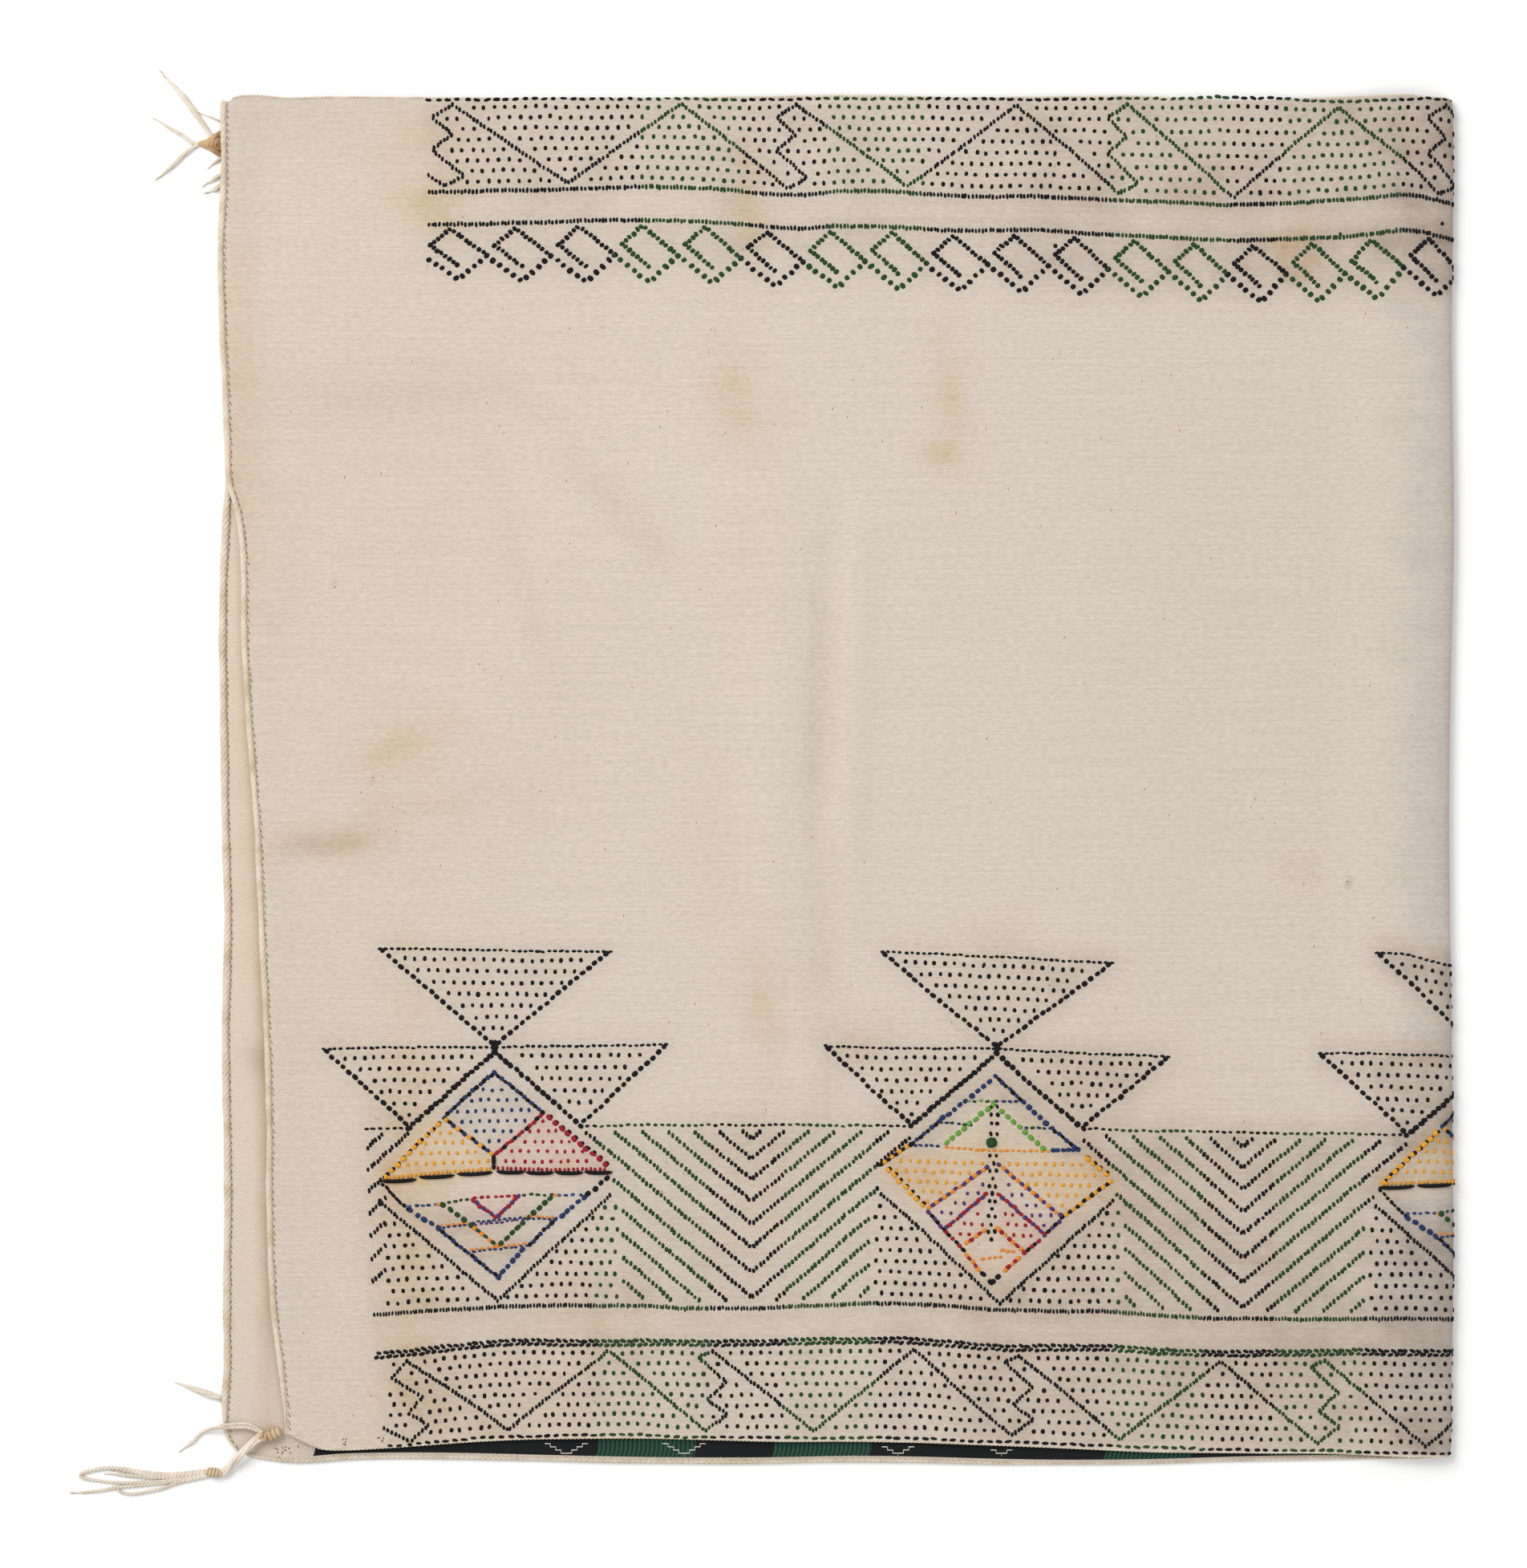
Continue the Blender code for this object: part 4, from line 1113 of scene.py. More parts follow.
def makeFrontMaterial(weave):
    # the brocade's front, which shows between the layers: dense black and green ribs on the plain cloth
    material, nodes, links, shader = newMaterial("brocadeFront", 0.92, 0.1)
    flat = nodes.new("ShaderNodeUVMap")
    flat.uv_map = "flatPlace"
    woven = useWeave(nodes, weave)
    links.new(flat.outputs[0], woven.inputs["Flat Place"])
    tone = nodes.new("ShaderNodeAttribute")
    tone.attribute_name = "clothTone"
    # painted shade: the weave's low places are darkened here too
    plain = mixNode(nodes, links, woven.outputs["Height"], finish["grooveShadeColour"], finish["clothColour"])
    # the tone attribute: stains, and on the lower strip painted light and painted shade beside the upper end
    # cord
    plain = mixNode(nodes, links, 1.0, plain, tone.outputs["Color"], "MULTIPLY")
    along = nodes.new("ShaderNodeSeparateXYZ")
    links.new(flat.outputs[0], along.inputs[0])
    edges = nodes.new("ShaderNodeUVMap")
    edges.uv_map = "fromEdges"
    fromEdges = nodes.new("ShaderNodeSeparateXYZ")
    links.new(edges.outputs[0], fromEdges.inputs[0])

    def stripes(value, blocks, reach):  # 1 inside the blocks and 0 outside, with sharp sides
        low, high = reach
        ramp = nodes.new("ShaderNodeValToRGB")
        ramp.color_ramp.interpolation = "CONSTANT"
        shifted = mathNode(nodes, links, "SUBTRACT", value, low * mm)
        links.new(mathNode(nodes, links, "DIVIDE", shifted, (high - low) * mm), ramp.inputs[0])
        ramp.color_ramp.elements[0].color = (0, 0, 0, 1)
        ramp.color_ramp.elements.remove(ramp.color_ramp.elements[1])
        for start, stop in blocks:
            ramp.color_ramp.elements.new((start - low) / (high - low)).color = (1, 1, 1, 1)
            ramp.color_ramp.elements.new((stop - low) / (high - low)).color = (0, 0, 0, 1)
        return ramp.outputs[0]

    def turned(value, pitch):  # one full turn for each pitch
        return mathNode(nodes, links, "MULTIPLY", value, 2 * math.pi / (pitch * mm))

    def waved(value):  # a wave between 0 and 1
        wave = mathNode(nodes, links, "MULTIPLY_ADD", mathNode(nodes, links, "SINE", value), 0.5)
        wave.node.inputs[2].default_value = 0.5
        return wave

    green = stripes(along.outputs[0], lowGreenBlocks, brocadeFront["alongReach"])
    lengthwise = stripes(along.outputs[0], (brocadeFront["span"],), brocadeFront["alongReach"])
    bands = stripes(fromEdges.outputs[0], brocadeFront["lowBands"], brocadeFront["upReach"])
    topBands = stripes(fromEdges.outputs[1], brocadeFront["topBands"], brocadeFront["upReach"])
    bands = mathNode(nodes, links, "MAXIMUM", bands, topBands)
    dyed = mathNode(nodes, links, "MULTIPLY", bands, lengthwise)
    threads = turned(along.outputs[0], brocadeFront["threadPitch"])
    threads = mathNode(nodes, links, "ADD", threads, turned(along.outputs[1], brocadeFront["threadRise"]))
    ribs = waved(turned(along.outputs[0], brocadeFront["ribPitch"]))
    ribs = mathNode(nodes, links, "MULTIPLY", ribs, waved(threads))
    ribs = mathNode(nodes, links, "POWER", ribs, 0.6)
    yarn = mixNode(nodes, links, green, finish["yarns"]["black"], brocadeFront["greenYarn"])
    # painted shade: the hollows between the ribs go near black
    deep = mixNode(nodes, links, ribs, brocadeFront["ribShadeColour"], yarn)
    links.new(mixNode(nodes, links, dyed, plain, deep), shader.inputs["Base Color"])
    relief = mathNode(nodes, links, "MULTIPLY", mathNode(nodes, links, "MULTIPLY", ribs, dyed), 1.6)
    relief = mathNode(nodes, links, "ADD", relief, woven.outputs["Height"])
    bump = nodes.new("ShaderNodeBump")
    bump.inputs["Strength"].default_value = 0.5
    bump.inputs["Distance"].default_value = 0.4 * mm
    links.new(relief, bump.inputs["Height"])
    links.new(bump.outputs[0], shader.inputs["Normal"])
    return material


print("mixing the finishes")
weave = plainWeaveGroup()
clothMaterial = makeClothMaterial(weave)
frontMaterial = makeFrontMaterial(weave)
yarnMaterials = {name: makeYarnMaterial(name, tint) for name, tint in finish["yarns"].items()}
cordMaterial = makeCordMaterial("endCord", colour(227, 212, 191), colour(192, 165, 134))
edgeMaterial = makeCordMaterial("edgeCord", colour(226, 213, 194), colour(190, 168, 138))
tasselMaterial = makeCordMaterial("tassel", colour(236, 226, 210), colour(202, 180, 150))
knotMaterial = makeCordMaterial("tasselKnot", colour(206, 172, 130), colour(142, 98, 62))
knotPaleMaterial = makeCordMaterial("whippedKnot", colour(216, 192, 158), colour(168, 132, 92))


def attachPiece(piece, slotName, *nodeNames):
    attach(piece, "root")
    if nodeNames:
        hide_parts(*nodeNames)
    return piece


# The folded cloth

# Stains and paler places, with painted shade along the troughs of creases and pleats, at the turn into the
# fold and beside the upper end cord, and painted light on two ridges and on the lower layer's strip: x, y,
# half width, half height, angle, strength, tint
stainsAndPaintedShading = (
    (-66, 430, 14, 46, 0, 0.85, (0.93, 0.85, 0.70)),
    (-78, 292, 20, 34, 8, 0.8, (0.94, 0.86, 0.72)),
    (-60, 262, 26, 16, 20, 0.4, (0.95, 0.87, 0.74)),
    (84, 290, 14, 44, 4, 0.75, (0.94, 0.85, 0.71)),
    (80, 246, 16, 12, 0, 0.7, (0.93, 0.82, 0.66)),
    (-66, 170, 20, 60, 0, 0.45, (0.96, 0.90, 0.80)),
    (-56, -170, 16, 52, 6, 0.75, (0.94, 0.86, 0.73)),
    (-90, -60, 20, 60, 4, 0.35, (0.96, 0.90, 0.82)),
    (12, -196, 30, 20, 0, 0.6, (0.94, 0.86, 0.75)),
    (118, -116, 20, 16, 0, 0.5, (0.95, 0.88, 0.78)),
    (-316, 30, 34, 24, 12, 0.75, (0.94, 0.86, 0.73)),
    (-344, 16, 18, 12, 0, 0.6, (0.93, 0.85, 0.72)),
    (-290, -10, 60, 20, 0, 0.4, (0.95, 0.89, 0.80)),
    (-340, 290, 112, 20, 0, 0.55, (0.93, 0.88, 0.83)),
    (-448, 320, 16, 160, 0, 0.7, (0.96, 0.89, 0.78)),
    (-446, 180, 30, 90, 0, 0.6, (0.95, 0.89, 0.81)),
    (-368, -40, 84, 24, 8, 0.6, (0.93, 0.87, 0.79)),
    (-374, -48, 40, 8, 4, 0.7, (0.88, 0.81, 0.73)),
    (-302, 430, 24, 22, 0, 0.85, (0.93, 0.84, 0.66)),
    (-296, 480, 30, 26, 0, 0.6, (0.95, 0.88, 0.76)),
    (-330, 470, 22, 40, 0, 0.5, (0.97, 0.91, 0.80)),
    (-400, -250, 90, 260, 0, 0.5, (0.97, 0.92, 0.86)),
    (-318, -330, 26, 170, 0, 0.9, (0.95, 0.87, 0.74)),
    (-250, -480, 110, 60, 0, 0.6, (0.95, 0.88, 0.79)),
    (-180, -400, 60, 40, 0, 0.6, (0.95, 0.87, 0.76)),
    (-60, -300, 50, 60, 0, 0.5, (0.95, 0.88, 0.78)),
    (119, -272, 70, 60, 0, 0.5, (0.94, 0.86, 0.72)),
    (110, -400, 46, 50, 0, 0.6, (0.93, 0.86, 0.78)),
    (220, -300, 60, 90, 0, 0.5, (0.94, 0.88, 0.82)),
    (330, -440, 80, 50, 0, 0.6, (0.92, 0.87, 0.81)),
    (350, -67, 14, 12, 0, 0.5, (0.94, 0.85, 0.76)),
    (-340, 300, 120, 240, 0, 0.4, (0.97, 0.94, 0.90)),
    (-95, 215, 120, 110, 0, 0.8, (1.03, 1.03, 1.05)),
    (-110, -60, 110, 90, 0, 0.4, (1.02, 1.02, 1.03)),
    (20, 110, 90, 160, 0, 0.5, (1.01, 1.02, 1.03)),
    # painted shade along the troughs of the middle creases, where the tint is below one, with painted light
    # on the ridges beside them at (-40, 20) and (-176, 168)
    (-8, 50, 11, 120, -2, 0.8, (0.90, 0.885, 0.875)),
    (-40, 20, 20, 200, 0, 0.5, (1.03, 1.03, 1.03)),
    (-6, -140, 12, 60, -6, 0.6, (0.91, 0.89, 0.88)),
    (-146, 190, 64, 12, -48, 0.75, (0.92, 0.905, 0.90)),
    (-176, 168, 66, 14, -48, 0.5, (1.03, 1.03, 1.03)),
    (-236, 150, 10, 90, 16, 0.5, (0.93, 0.915, 0.90)),
    # painted shade in the troughs of the pleats in the bottom and top borders
    (-100, -430, 12, 80, 6, 0.6, (0.92, 0.905, 0.89)),
    (52, -430, 14, 70, -4, 0.6, (0.92, 0.90, 0.88)),
    (178, -440, 14, 80, 8, 0.5, (0.93, 0.91, 0.89)),
    (300, -430, 16, 80, -8, 0.5, (0.93, 0.92, 0.90)),
    (24, 450, 14, 60, 6, 0.6, (0.92, 0.91, 0.89)),
    (-180, 440, 14, 70, -6, 0.5, (0.93, 0.91, 0.89)),
    (200, 440, 14, 60, -4, 0.5, (0.93, 0.92, 0.90)),
    (-420, 500, 60, 34, 0, 0.8, (0.93, 0.91, 0.905)),
    (-250, 500, 120, 40, 0, 0.4, (0.94, 0.93, 0.93)),
    (330, 120, 160, 400, 0, 0.6, (0.97, 0.97, 0.975)),
    # painted shade where the upper layer turns down into the fold
    (448, 0, 34, 640, 0, 1.0, (0.88, 0.885, 0.90)),
    (440, -400, 44, 130, 0, 0.8, (0.80, 0.82, 0.86)),
    (330, -400, 60, 100, 0, 0.5, (0.90, 0.90, 0.90)),
    (430, 440, 50, 70, 0, 0.6, (0.86, 0.86, 0.88)),
    (344, 404, 24, 20, 20, 0.8, (0.93, 0.82, 0.68)),
    (352, 384, 20, 14, 0, 0.6, (0.93, 0.84, 0.72)),
    (270, 440, 26, 20, 0, 0.55, (0.94, 0.86, 0.75)),
    (64, -296, 30, 12, 0, 0.6, (0.88, 0.78, 0.70)),
    # painted light on the strip of the lower layer, which lies in the upper layer's shade
    (1366, 0, 34, 620, 0, 1.0, (1.10, 1.06, 1.00)),
    # painted shade beside the upper end cord, with some brownish soil
    (1352, 60, 16, 190, 0, 0.6, (0.86, 0.78, 0.68)),
    (1351, -300, 7, 210, 0, 0.8, (0.80, 0.71, 0.62)),
)
specks = (
    (-375.6, 144.3, 2.4, (0.72, 0.64, 0.52)),
    (-346.8, 1.5, 2.0, (0.62, 0.48, 0.36)),
    (381.6, -76.5, 2.0, (0.66, 0.60, 0.56)),
)


def shareGrid(count):
    corner = np.array((0, 0.002, 0.0045, 0.0075, 0.011, 0.015, 0.02, 0.026))
    even = np.arange(1, count) / count
    even = even[(even > corner[-1] + 0.3 / count) & (even < 1 - corner[-1] - 0.3 / count)]
    return np.concatenate((corner, even, 1 - corner[::-1]))


def bleed(s, v, yarns, blurs, gain):  # how much yarn of some colours lies near each place
    cell, low, shape = 3.0, np.array((-470.0, -520.0)), (660, 350)
    grid = np.zeros(shape)
    near = np.array([(row[0], row[1]) for row in stitchRows if row[4] in yarns and row[5]])
    i, j = ((near - low) / cell).astype(int).T
    np.add.at(grid, (np.clip(i, 0, shape[0] - 1), np.clip(j, 0, shape[1] - 1)), 1.0)
    for _ in range(blurs):
        grid = (grid + np.roll(grid, 1, 0) + np.roll(grid, -1, 0)) / 3
        grid = (grid + np.roll(grid, 1, 1) + np.roll(grid, -1, 1)) / 3
    a = np.clip((s - low[0]) / cell - 0.5, 0, shape[0] - 2)
    b = np.clip((v - low[1]) / cell - 0.5, 0, shape[1] - 2)
    i, j = a.astype(int), b.astype(int)
    a, b = a - i, b - j
    share = grid[i, j] * (1 - a) * (1 - b) + grid[i + 1, j] * a * (1 - b)
    share = share + grid[i, j + 1] * (1 - a) * b + grid[i + 1, j + 1] * a * b
    return np.clip(share * gain, 0, 1)


# Dye that has bled into the cloth: yarns, spread, gain, tint, more of it towards the fold
dyes = (
    (("black", "green", "navy"), 14, 5.5, (0.90, 0.867, 0.835), True),
    (("black", "green", "navy"), 4, 2.4, (0.92, 0.925, 0.93), True),
    (("gold",), 4, 3.6, (0.97, 0.84, 0.60), False),
    (("red",), 4, 3.0, (0.90, 0.74, 0.68), False),
    (("orange",), 4, 2.0, (0.97, 0.84, 0.68), False),
    (("navy",), 4, 2.6, (0.84, 0.87, 0.94), False),
    (("purple",), 4, 2.0, (0.88, 0.82, 0.84), False),
)


def clothTone(s, v):
    tone = np.ones((*s.shape, 3))
    for x, y, halfWidth, halfHeight, angle, strength, tint in stainsAndPaintedShading:
        turned = math.radians(angle)
        dx, dy = s - x, v - y
        along = (dx * math.cos(turned) + dy * math.sin(turned)) / halfWidth
        across = (dy * math.cos(turned) - dx * math.sin(turned)) / halfHeight
        edge = 0.25 * np.sin(dx / 9 + 2 * np.sin(dy / 13)) + 0.2 * np.sin(dy / 7 + dx / 17)
        share = strength * np.exp(-((along**2 + across**2) * (1 + edge)))
        tone = tone * (1 - share[..., None] + share[..., None] * np.array(tint))
    patchy = 0.85 + 0.18 * np.sin(s / 33 + 1.7 * np.sin(v / 27)) * np.sin(v / 21 + s / 61)
    reach = 0.8 + 0.55 * ease((s - 40) / 120) + 0.7 * ease((s - 370) / 80)
    for yarns, blurs, gain, tint, wider in dyes:
        share = (bleed(s, v, yarns, blurs, gain) * patchy * (reach if wider else 1.0))[..., None]
        tone = tone * (1 - share * (1 - np.array(tint)))
    return tone


def gridObject(name, columns, rows):
    bpy.ops.mesh.primitive_grid_add(x_subdivisions=columns - 1, y_subdivisions=rows - 1, size=2)
    piece = bpy.context.object
    piece.name = piece.data.name = name
    places = np.empty(len(piece.data.vertices) * 3)
    piece.data.vertices.foreach_get("co", places)
    places = places.reshape(-1, 3)
    column = np.rint((places[:, 0] + 1) / 2 * (columns - 1)).astype(int)
    row = np.rint((places[:, 1] + 1) / 2 * (rows - 1)).astype(int)
    return piece, row, column


def paintUv(mesh, name, values):
    layer = mesh.uv_layers.get(name) or mesh.uv_layers.new(name=name)
    corners = np.empty(len(mesh.loops), int)
    mesh.loops.foreach_get("vertex_index", corners)
    layer.data.foreach_set("uv", values[corners].astype(np.float32).ravel())


def makeCloth():
    upper = shareGrid(cloth["upperColumns"])
    lower = shareGrid(cloth["lowerColumns"])
    turned = np.arange(1, cloth["foldColumns"]) / cloth["foldColumns"]
    rows = shareGrid(cloth["rows"])
    share, up = np.meshgrid(upper, rows)
    over = np.stack(layerPoints(share, up, "upper"), -1)
    share, up = np.meshgrid(lower[::-1], rows)
    under = np.stack(layerPoints(share, up, "lower"), -1)
    turn, _ = np.meshgrid(turned, rows)
    first, last = over[:, -1:, :], under[:, :1, :]
    fold = np.stack(foldPoints(first[..., 0], first[..., 1], last[..., 0], last[..., 1], turn), -1)
    grid = np.concatenate((over, fold, under), axis=1)
    right = first[..., 0]
    s = np.concatenate(
        (
            over[..., 0],
            right + np.interp(turn, turns, turnLengths),
            right + foldLength + (last[..., 0] - under[..., 0]),
        ),
        axis=1,
    )
    heights = bottomAtFold + (topAtFold - bottomAtFold) * rows[:, None]
    heights = np.broadcast_to(heights, (len(rows), grid.shape[1] - len(upper)))
    v = np.concatenate((over[..., 1], heights), axis=1)
    piece, row, column = gridObject("folded_cloth", grid.shape[1], grid.shape[0])
    mesh = piece.data
    mesh.vertices.foreach_set("co", (grid[row, column] * mm).astype(np.float32).ravel())
    s, v = s[row, column], v[row, column]
    paintUv(mesh, "flatPlace", np.stack((s, v), -1) * mm)
    below = grid[:1, :, 1][0][column]
    above = grid[-1:, :, 1][0][column]
    y = grid[row, column][:, 1]
    paintUv(mesh, "fromEdges", np.stack((y - below, above - y), -1) * mm)
    for layer in list(mesh.uv_layers):
        if layer.name not in ("flatPlace", "fromEdges"):
            mesh.uv_layers.remove(layer)
    tone = clothTone(s, v)
    for x, y, radius, tint in specks:
        near = np.exp(-(((s - x) ** 2 + (v - y) ** 2) / radius**2))[..., None]
        tone = tone * (1 - near * (1 - np.array(tint)))
    colours = np.concatenate((tone, np.ones((len(tone), 1))), axis=1)
    attribute = mesh.attributes.new("clothTone", "FLOAT_COLOR", "POINT")
    attribute.data.foreach_set("color", colours.astype(np.float32).ravel())
    mesh.materials.append(clothMaterial)
    mesh.materials.append(frontMaterial)
    shell = piece.modifiers.new("thickness", "SOLIDIFY")
    shell.thickness = cloth["thickness"] * mm
    shell.offset = 0.0
    shell.use_even_offset = True
    shell.material_offset = 1
    bpy.ops.object.modifier_apply(modifier=shell.name)
    bpy.ops.object.shade_smooth_by_angle(angle=math.radians(50))
    piece.select_set(False)
    return attachPiece(piece, "brocaded_cotton", "manta_cloth")


print("laying the cloth")
clothPiece = makeCloth()


# The stitches, each a lump of yarn on the cloth

def stitchShape(segments, rings):  # one stitch of unit size, shaped once and copied
    bpy.ops.mesh.primitive_uv_sphere_add(segments=segments, ring_count=rings, radius=1.0)
    lump = bpy.context.object
    bpy.ops.object.mode_set(mode="EDIT")
    bpy.ops.mesh.select_all(action="SELECT")
    bpy.ops.mesh.quads_convert_to_tris()
    bpy.ops.object.mode_set(mode="OBJECT")
    points = np.array([vert.co for vert in lump.data.vertices])
    faces = np.array([face.vertices[:] for face in lump.data.polygons])
    bpy.data.objects.remove(lump)
    rim = np.hypot(points[:, 0], points[:, 1])[:, None]
    around = np.where(rim > 1e-6, points[:, :2] / np.maximum(rim, 1e-6), 0)
    boxy = np.sign(around) * np.abs(around) ** 0.8
    above = points[:, 2] > 0
    upperShare = 1.0 if rings == 2 else 0.74
    points[:, :2] = boxy * np.where(rim > 1e-6, np.where(above[:, None], upperShare, 1.0), 0)
    onRim = rim[:, 0] > 1e-6
    points[:, 2] = np.where(above, np.where(onRim, 0.7, 1.0), np.where(onRim, 0.0, -0.45))
    return points, faces


def makeStitches(name, rows, shape):
    points, faces = shape
    s, v, lean = (np.array([row[n] for row in rows], float) for n in range(3))
    sizes = np.array([stitchSizes[row[3]] for row in rows])
    outside = rows[0][5]
    count = len(rows)
    s = s + dice.normal(0, strays["along"], count)
    v = v + dice.normal(0, strays["up"], count)
    lean = np.radians(lean + dice.normal(0, strays["lean"], count))
    sizes = sizes * (1 + dice.normal(0, strays["size"], (count, 3)))
    base, along, upward, out = onCloth(s, v, outside)
    under = base[:, 2] < 2.0
    if outside:
        sizes[under, 2] = np.minimum(sizes[under, 2], 0.3)
    lengthwise = along * np.cos(lean)[:, None] + upward * np.sin(lean)[:, None]
    sideways = upward * np.cos(lean)[:, None] - along * np.sin(lean)[:, None]
    made = base[:, None, :] + points[None, :, 0:1] * (lengthwise * sizes[:, 0:1] / 2)[:, None, :]
    made = made + points[None, :, 1:2] * (sideways * sizes[:, 1:2] / 2)[:, None, :]
    made = made + points[None, :, 2:3] * (out * sizes[:, 2:3])[:, None, :]
    made[..., 2] = np.maximum(made[..., 2], 0.03)
    if not outside:
        faces = faces[:, ::-1]
    allFaces = (faces[None] + (np.arange(count) * len(points))[:, None, None]).reshape(-1, 3)
    mesh = bpy.data.meshes.new(name)
    mesh.from_pydata((made.reshape(-1, 3) * mm).tolist(), [], allFaces.tolist())
    mesh.shade_smooth()
    mesh.materials.append(yarnMaterials[rows[0][4]])
    piece = bpy.data.objects.new(name, mesh)
    bpy.context.scene.collection.objects.link(piece)
    return attachPiece(piece, "brocaded_cotton")


def makeAllStitches():
    fine, coarse = stitchShape(8, 3), stitchShape(6, 2)
    turnEnd = float(foldStart(0.0, cloth["topReach"])) + foldLength * 0.6
    made = []
    for yarn in finish["yarns"]:
        for part, shape, test in (
            ("top", fine, lambda row: row[5] and row[0] <= turnEnd),
            ("under", coarse, lambda row: row[5] and row[0] > turnEnd),
            ("front", fine, lambda row: not row[5]),
        ):
            rows = [row for row in stitchRows if row[4] == yarn and row[3] not in floatSizes and test(row)]
            if rows:
                made.append(makeStitches(f"{yarn}_stitches_{part}", rows, shape))
    return made


print("tying", len(stitchRows), "stitches")
stitchPieces = makeAllStitches()


# Yarn that runs along a path: cords, tassels and floats

def smoothRoute(points, perSpan=5):  # a smooth line through a route's points, which end in a radius
    points = np.array(points, float)
    padded = np.concatenate((2 * points[:1] - points[1:2], points, 2 * points[-1:] - points[-2:-1]))
    made = []
    for before, start, end, after in zip(padded, padded[1:], padded[2:], padded[3:]):
        for t in np.arange(perSpan) / perSpan:
            curve = 2 * start + (end - before) * t + (2 * before - 5 * start + 4 * end - after) * t**2
            made.append((curve + (3 * start - before - 3 * end + after) * t**3) / 2)
    made = np.array([*made, points[-1]])
    made[:, 3] = np.maximum(made[:, 3], 0.12)
    made[:, 2] = np.maximum(made[:, 2], made[:, 3])
    return made[:, :3], made[:, 3]


def lengthsAlong(path):
    return np.concatenate(([0], np.cumsum(np.linalg.norm(np.diff(path, axis=0), axis=1))))


def respaced(path, values, step):
    lengths = lengthsAlong(path)
    at = np.linspace(0, lengths[-1], max(int(round(lengths[-1] / step)), 2) + 1)
    evened = np.stack([np.interp(at, lengths, path[:, n]) for n in range(3)], -1)
    return evened, np.interp(at, lengths, values), at


def directionsAlong(path, reference):
    ahead = np.gradient(path, axis=0)
    ahead /= np.maximum(np.linalg.norm(ahead, axis=1, keepdims=True), 1e-9)
    side = np.cross(ahead, reference)
    side /= np.maximum(np.linalg.norm(side, axis=1, keepdims=True), 1e-9)
    return ahead, side, np.cross(side, ahead)


def plies(path, halfWidths, pitch, reference, count=2, flat=1.0, hand=1.0, depth=0.45, perTurn=8):
    # the plies of a twisted cord, each a (path, radii) pair
    step = pitch / perTurn
    path, half, at = respaced(path, halfWidths, step)
    _, side, up = directionsAlong(path, reference)
    strands = []
    for n in range(count):
        angle = (hand * 2 * math.pi * at / pitch + 2 * math.pi * n / count)[:, None]
        away = side * np.cos(angle) + up * np.sin(angle) * flat
        strands.append((path + away * (half * depth)[:, None], half * (1 - depth) * 1.06))
    return strands


def wound(path, radii, wire, pitch, reference):  # a yarn wound round and round a path
    fine, around, at = respaced(path, radii, pitch / 10)
    _, side, up = directionsAlong(fine, reference)
    angle = (2 * math.pi * at / pitch)[:, None]
    away = side * np.cos(angle) + up * np.sin(angle)
    made = fine + away * (around - wire * 0.4)[:, None]
    made[:, 2] = np.maximum(made[:, 2], wire)
    return made, np.full(len(made), wire)


def frayed(path, count, length, spread):  # loose fibres at the end of a strand
    tip, way = path[-1], path[-1] - path[-3]
    way = way / np.linalg.norm(way)
    made = []
    for _ in range(count):
        lean = way + dice.normal(0, spread, 3) * np.array((1, 1, 0.3))
        reach = length * dice.uniform(0.5, 1.0)
        curl = dice.normal(0, 0.12, 3) * reach
        root = path[-6] + dice.normal(0, 0.5, 3)
        middle = path[-2] + dice.normal(0, 0.35, 3)
        fibre = np.array([root, middle, tip + lean * reach * 0.4 + curl, tip + lean * reach])
        fibre[:, 2] = np.maximum(fibre[:, 2], 0.25)
        made.append((fibre, np.array((0.42, 0.36, 0.22, 0.08))))
    return made


def makeStrands(name, strands, material, reference, sides=6, flat=1.0):
    points, faces, flatPlaces, offset = [], [], [], 0
    turned = 2 * math.pi * np.arange(sides) / sides - math.pi / 2
    for path, radii in strands:
        ahead, side, up = directionsAlong(path, reference)
        ring = side[:, None] * np.cos(turned)[None, :, None]
        ring = ring + up[:, None] * np.sin(turned)[None, :, None] * flat
        rings = path[:, None] + ring * radii[:, None, None]
        count = len(path)
        ends = np.array((path[0] - ahead[0] * radii[0] * 0.4, path[-1] + ahead[-1] * radii[-1] * 0.4))
        points.append(np.concatenate((rings.reshape(-1, 3), ends)))
        lengths = lengthsAlong(path)
        for i in range(count - 1):
            for j in range(sides):
                k = (j + 1) % sides
                corners = (i * sides + k, i * sides + j, (i + 1) * sides + j, (i + 1) * sides + k)
                faces.append([offset + corner for corner in corners])
                here, there = j / sides * 6 * radii[i], (j + 1) / sides * 6 * radii[i]
                flatPlaces += [(lengths[i], there), (lengths[i], here)]
                flatPlaces += [(lengths[i + 1], here), (lengths[i + 1], there)]
        first, last = offset + count * sides, offset + count * sides + 1
        for j in range(sides):
            k = (j + 1) % sides
            faces.append([first, offset + j, offset + k])
            faces.append([last, offset + (count - 1) * sides + k, offset + (count - 1) * sides + j])
            flatPlaces += [(0, 0), (0, 1), (1, 0)] * 2
        offset += count * sides + 2
    points = np.concatenate(points)
    points[:, 2] = np.maximum(points[:, 2], 0.02)
    mesh = bpy.data.meshes.new(name)
    mesh.from_pydata((points * mm).tolist(), [], faces)
    layer = mesh.uv_layers.new(name="alongYarn")
    layer.data.foreach_set("uv", (np.array(flatPlaces, np.float32) * mm).ravel())
    mesh.shade_smooth()
    mesh.materials.append(material)
    piece = bpy.data.objects.new(name, mesh)
    bpy.context.scene.collection.objects.link(piece)
    return piece


upward = np.array((0.0, 0.0, 1.0))
acrossCloth = np.array((0.0, 1.0, 0.0))


# The black floats under the gold and red fields of the diamonds

